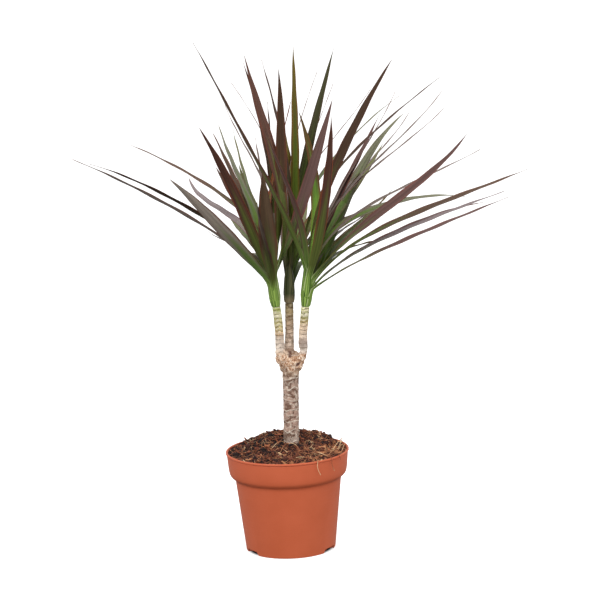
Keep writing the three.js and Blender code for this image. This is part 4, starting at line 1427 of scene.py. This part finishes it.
def unit_blade(settings):
    """A flat blade to be copied and bent: X from -1 to 1 across, Y from 0 to 1 along."""
    deselect()
    bpy.ops.mesh.primitive_grid_add(
        x_subdivisions=settings.strips, y_subdivisions=settings.steps, size=2,
    )
    blade = bpy.context.object
    blade.name = "unit_blade"
    bpy.ops.object.mode_set(mode="EDIT")
    bpy.ops.mesh.select_all(action="SELECT")
    bpy.ops.transform.resize(value=(1, 0.5, 1))
    bpy.ops.transform.translate(value=(0, 0.5, 0))
    bpy.ops.object.mode_set(mode="OBJECT")
    modify(blade, "SOLIDIFY", thickness=1, offset=0)
    choose(blade)
    bpy.ops.object.shade_smooth_by_angle(angle=math.radians(40))
    blade.data.uv_layers[0].name = "leaf"
    set_value(blade, "under", (points_of(blade)[:, 2] < 0).astype("f"))
    return blade


def bent(blade, root, leaf, shoot, clear, thickness):
    """Bends a copy of the flat blade along its leaf's line, its root wrapped round the shoot.

    A blade turns past upright, where a Curve modifier would flip it, so it is bent by formula.
    """
    line = leaf_line(root, leaf)
    stem, out, foot_height = shoot["stem"], shoot["out"], shoot["height"]
    sideways = stem.cross(out)
    reach = (leaf["tip"] - root).length
    rows = {}
    points = points_of(blade)
    for point in points:
        s, t, n = point
        t = min(1.0, max(0.0, t))
        key = round(t, 5)
        if key not in rows:
            rows[key] = (*line(t), leaf["width"] / 2 * width_share(t), fold_at(t))
        middle, across, above, half, fold = rows[key]
        # a soft fold, and a margin that waves a little
        stand = math.sqrt(s * s + FOLD_ROUND) - FOLD_SINK
        wave = WAVE_HEIGHT * math.sin(t * WAVE_PACE + leaf["width"] * 5 + s)
        wave *= abs(s) ** 3 * smooth(t * 4)
        thick = thickness * (1 - MARGIN_THINNER * s * s) * (1 - TIP_THINNER * t)
        place = middle + across * (s * half * math.cos(fold))
        place += above * (stand * half * math.sin(fold) + wave + n * thick)
        wrapped = 1 - smooth((t - SHEATH_HOLD) / SHEATH_END)
        if wrapped > 0:
            wrap = math.radians(lerp(*shoot["wrap"], smooth(t / SHEATH_END)))
            leaves_at = foot_height - SHEATH_DROP + SHEATH_END * reach * SHEATH_CLIMB
            up = lerp(SHEATH_FOOT, leaves_at, t / SHEATH_END)
            radius = shoot_radius(up) - SHEATH_SINK + clear - n * thick
            ring = out * math.cos(s * wrap) + sideways * math.sin(s * wrap)
            rise = shoot["foot"] + stem * up
            place = place.lerp(rise + ring * radius, wrapped)
        point[:] = place
    set_points(blade, points * MM)


def colour_leaf(piece, colouring, number):
    """Gives a leaf or a shoot what its material reads: its colouring, and a number of its own."""
    body, margin, heart, reach = colouring
    set_colour(piece, "blade", linear(body))
    set_colour(piece, "margin", linear(margin))
    set_colour(piece, "heart", (*linear(heart)[:3], reach))
    set_value(piece, "number", number)


def make_head(name, settings, material):
    """A head: its leaves, each bent from a copy of one flat blade, and the shoot they clasp."""
    head = HEADS[name]
    stem = Vector(head["lean"]).normalized()
    foot = Vector(head["foot"])
    leaves = leaves_of(name)
    master = unit_blade(settings)
    pieces = []
    for i, leaf in enumerate(leaves):
        share = i / (len(leaves) - 1)
        out = leaf["tip"] - foot
        out.z = 0
        out.normalize()
        height = FIRST_LEAF + LEAF_SPREAD * share
        shoot = {
            "foot": foot,
            "stem": stem,
            "out": (out - stem * out.dot(stem)).normalized(),
            "height": height,
            "wrap": SHEATH_WRAP[name],
        }
        root = foot + stem * height + out * ROOT_R
        blade = copied(master)
        bent(blade, root, leaf, shoot, lerp(*SHEATH_CLEAR, share), settings.thickness / MM)
        colour_leaf(blade, COLOURINGS[leaf["colouring"]], (i * LEAF_NUMBER_STEP) % 1)
        pieces.append(blade)
    bpy.data.objects.remove(master)
    core = make_shoot(head)
    colour_leaf(core, (SHOOT_BLADE, SHOOT_BLADE, SHOOT_GREEN[name], 1), 0.5)
    set_value(core, "under", 0)
    whole = joined([*pieces, core], f"leaves_{name}")
    set_value(whole, "fresh", YOUNG_GREEN[name])
    # how many millimetres each point is up the shoot's line from its foot
    set_value(whole, "climb", (points_of(whole) / MM - np.array(foot)) @ np.array(stem))
    hand_over(whole, material, f"head_{name}")


def make_shoot(head):
    """The green shoot that the leaves clasp: a cylinder on its line, swollen and tapered."""
    deselect()
    bpy.ops.mesh.primitive_cylinder_add(vertices=SHOOT_SIDES, radius=1, depth=1)
    shoot = bpy.context.object
    bpy.ops.object.mode_set(mode="EDIT")
    for i in range(1, SHOOT_RINGS):
        bpy.ops.mesh.select_all(action="SELECT")
        bpy.ops.mesh.bisect(plane_co=(0, 0, i / SHOOT_RINGS - 0.5), plane_no=(0, 0, 1))
    bpy.ops.object.mode_set(mode="OBJECT")
    shoot.data.uv_layers[0].name = "leaf"
    for corner in shoot.data.uv_layers[0].data:
        corner.uv.y *= SHOOT_ALONG
    foot = Vector(head["foot"])
    stem = Vector(head["lean"]).normalized()
    turn = UP.rotation_difference(stem).to_matrix()
    points = points_of(shoot)
    for point in points:
        height = (point[2] + 0.5) * SHOOT_LENGTH
        share = lerp(CORE_FOOT_SHARE, CORE_SHARE, smooth(height / CORE_FOOT))
        radius = shoot_radius(height) * share
        point[:] = turn @ Vector((point[0] * radius, point[1] * radius, height)) + foot
    set_points(shoot, points * MM)
    choose(shoot)
    bpy.ops.object.shade_smooth_by_angle(angle=math.radians(50))
    return shoot


# ---- Stage ----

CAMERA_AT = (0, -2.2, 0.646)
CAMERA_PITCH = 10.31
CAMERA_YAW = 0.47
CAMERA_ROLL = 2.2
CAMERA_LENS = 138.9
SENSOR = 36

# The soft boxes: the place, the share of the key light's power, and the side.
LIGHTS = {
    "key": ((-1.1, -1.9, 1.7), 1, 1.2),
    "fill": ((1.6, -1.5, 0.9), 0.5, 1.4),
    "top": ((0.1, 0.3, 2.0), 0.33, 1.6),
}
LIGHTS_AIM = (0, 0, 0.25)
TENT_DIM = 0.12  # the tent's brightness from below
PAPER_GLOW = 0.55
PAPER_SHADOW_R = 40  # the paper is painted black, a painted shadow, this near the middle of the pot's foot


def make_camera():
    """The camera, turned by its pitch, yaw and roll, looking along +Y."""
    pitch, yaw, roll = (math.radians(a) for a in (CAMERA_PITCH, CAMERA_YAW, CAMERA_ROLL))
    ahead = Vector((
        math.sin(yaw) * math.cos(pitch), math.cos(yaw) * math.cos(pitch), -math.sin(pitch),
    ))
    level = Vector((math.cos(yaw), -math.sin(yaw), 0))
    upright = level.cross(ahead)
    right = level * math.cos(roll) - upright * math.sin(roll)
    up = level * math.sin(roll) + upright * math.cos(roll)
    lens = bpy.data.cameras.new("camera")
    lens.lens = CAMERA_LENS
    lens.sensor_width = SENSOR
    lens.clip_end = 100
    camera = new_object("camera", lens)
    turn = Matrix((right, up, -ahead)).transposed().to_4x4()
    camera.matrix_world = Matrix.Translation(CAMERA_AT) @ turn
    bpy.context.scene.camera = camera


def make_light(name, place, power, side):
    """A square soft box that looks at the middle of the plant."""
    lamp = bpy.data.lights.new(name, "AREA")
    lamp.energy = power
    lamp.shape = "SQUARE"
    lamp.size = side
    light = new_object(name, lamp)
    turn = (Vector(LIGHTS_AIM) - Vector(place)).to_track_quat("-Z", "Y")
    light.matrix_world = Matrix.Translation(place) @ turn.to_matrix().to_4x4()


def white_sweep():
    """Matt white paper, lit so evenly that it has almost no shade of its own, with a painted
    shadow under the pot's foot.
    """
    material, tree, shader = blank("white_sweep")
    place = node(tree, "ShaderNodeTexCoord").outputs["Object"]
    tooth = node(tree, "ShaderNodeTexNoise", {"Vector": place, "Scale": 400, "Detail": 2})
    tint = node(tree, "ShaderNodeMapRange", {0: tooth, 1: 0, 2: 1, 3: 0.84, 4: 0.88})
    shade = node(tree, "ShaderNodeCombineColor", {0: tint, 1: tint, 2: tint})
    # under the pot's foot the paper is painted black, a painted shadow, and its glow dies there
    far = node(tree, "ShaderNodeVectorMath", {0: place}, operation="LENGTH")
    outside_shadow = node(tree, "ShaderNodeMapRange",
                    {0: far, 1: PAPER_SHADOW_R * MM, 2: POT_FOOT_R * MM, 3: 0.0, 4: 1.0})
    paper = node(tree, "ShaderNodeVectorMath", {0: shade, "Scale": outside_shadow}, operation="SCALE")
    glow = node(tree, "ShaderNodeMath", {0: outside_shadow, 1: PAPER_GLOW}, operation="MULTIPLY")
    wire(tree, shader, {
        "Base Color": paper,
        "Roughness": 0.9,
        "Emission Color": (1, 1, 1, 1),
        "Emission Strength": glow,
    })
    return material


def make_stage(settings):
    """The studio: a white tent, a paper floor, three soft boxes and the camera."""
    scene = bpy.context.scene
    scene.view_settings.view_transform = "Standard"
    world = bpy.data.worlds.new("studio")
    world.use_nodes = True
    tree = world.node_tree
    direction = node(tree, "ShaderNodeTexCoord").outputs["Generated"]
    height = node(tree, "ShaderNodeSeparateXYZ", {0: direction}).outputs["Z"]
    # the tent is bright all round and dim from below
    glow = node(tree, "ShaderNodeMapRange",
                {0: height, 1: -0.5, 2: -0.05, 3: TENT_DIM, 4: settings.tent_light})
    wire(tree, tree.nodes["Background"], {0: (1, 1, 1, 1), 1: glow})
    scene.world = world
    deselect()
    bpy.ops.mesh.primitive_plane_add(size=settings.floor)
    floor = bpy.context.object
    floor.name = "floor"
    floor.data.materials.append(white_sweep())
    floor.visible_diffuse = False
    floor.visible_glossy = False
    for name, (place, share, side) in LIGHTS.items():
        make_light(name, place, settings.key_light * share, side)
    make_camera()


# ---- Operators ----


class PLANT_OT_pot(bpy.types.Operator):
    """Model the nursery pot"""

    bl_idname = "plant.pot"
    bl_label = "Pot"

    def execute(self, context):
        make_pot(context.scene.plant_pot)
        return {"FINISHED"}


class PLANT_OT_soil(bpy.types.Operator):
    """Model the root ball with its loose crumbs, chips and fibres"""

    bl_idname = "plant.soil"
    bl_label = "Root ball"

    def execute(self, context):
        settings = context.scene.plant_soil
        make_soil_bed()
        make_crumbs(settings)
        make_chips(settings)
        make_fibres(settings)
        return {"FINISHED"}


class PLANT_OT_trunk(bpy.types.Operator):
    """Model the stump, the knob and the canes as one woody piece"""

    bl_idname = "plant.trunk"
    bl_label = "Stump and canes"

    def execute(self, context):
        make_trunk(context.scene.plant_trunk)
        return {"FINISHED"}


class PLANT_OT_leaves(bpy.types.Operator):
    """Model the three leafy heads"""

    bl_idname = "plant.leaves"
    bl_label = "Leafy heads"

    def execute(self, context):
        material = dracaena_leaf()
        for name in HEADS:
            make_head(name, context.scene.plant_leaves, material)
        return {"FINISHED"}


class PLANT_OT_stage(bpy.types.Operator):
    """Set up the floor, the lights and the camera"""

    bl_idname = "plant.stage"
    bl_label = "Stage"

    def execute(self, context):
        make_stage(context.scene.plant_stage)
        return {"FINISHED"}


class PLANT_PT_panel(bpy.types.Panel):
    bl_label = "Dracaena"
    bl_space_type = "VIEW_3D"
    bl_region_type = "UI"
    bl_category = "Plant"

    def draw(self, context):
        for name, settings, operator in STEPS:
            box = self.layout.box()
            for key in settings.__annotations__:
                box.prop(getattr(context.scene, name), key)
            box.operator(operator.bl_idname)


# The steps in their order: where the scene keeps a step's settings, their class, the operator.
STEPS = [
    ("plant_stage", StageSettings, PLANT_OT_stage),
    ("plant_pot", PotSettings, PLANT_OT_pot),
    ("plant_soil", SoilSettings, PLANT_OT_soil),
    ("plant_trunk", TrunkSettings, PLANT_OT_trunk),
    ("plant_leaves", LeafSettings, PLANT_OT_leaves),
]


def register():
    for name, settings, operator in STEPS:
        bpy.utils.register_class(settings)
        bpy.utils.register_class(operator)
        setattr(bpy.types.Scene, name, bpy.props.PointerProperty(type=settings))
    bpy.utils.register_class(PLANT_PT_panel)


def unregister():
    bpy.utils.unregister_class(PLANT_PT_panel)
    for name, settings, operator in reversed(STEPS):
        delattr(bpy.types.Scene, name)
        bpy.utils.unregister_class(operator)
        bpy.utils.unregister_class(settings)


def main():
    register()
    bpy.ops.plant.stage()
    bpy.ops.plant.pot()
    bpy.ops.plant.soil()
    bpy.ops.plant.trunk()
    bpy.ops.plant.leaves()


if __name__ == "__main__":
    main()
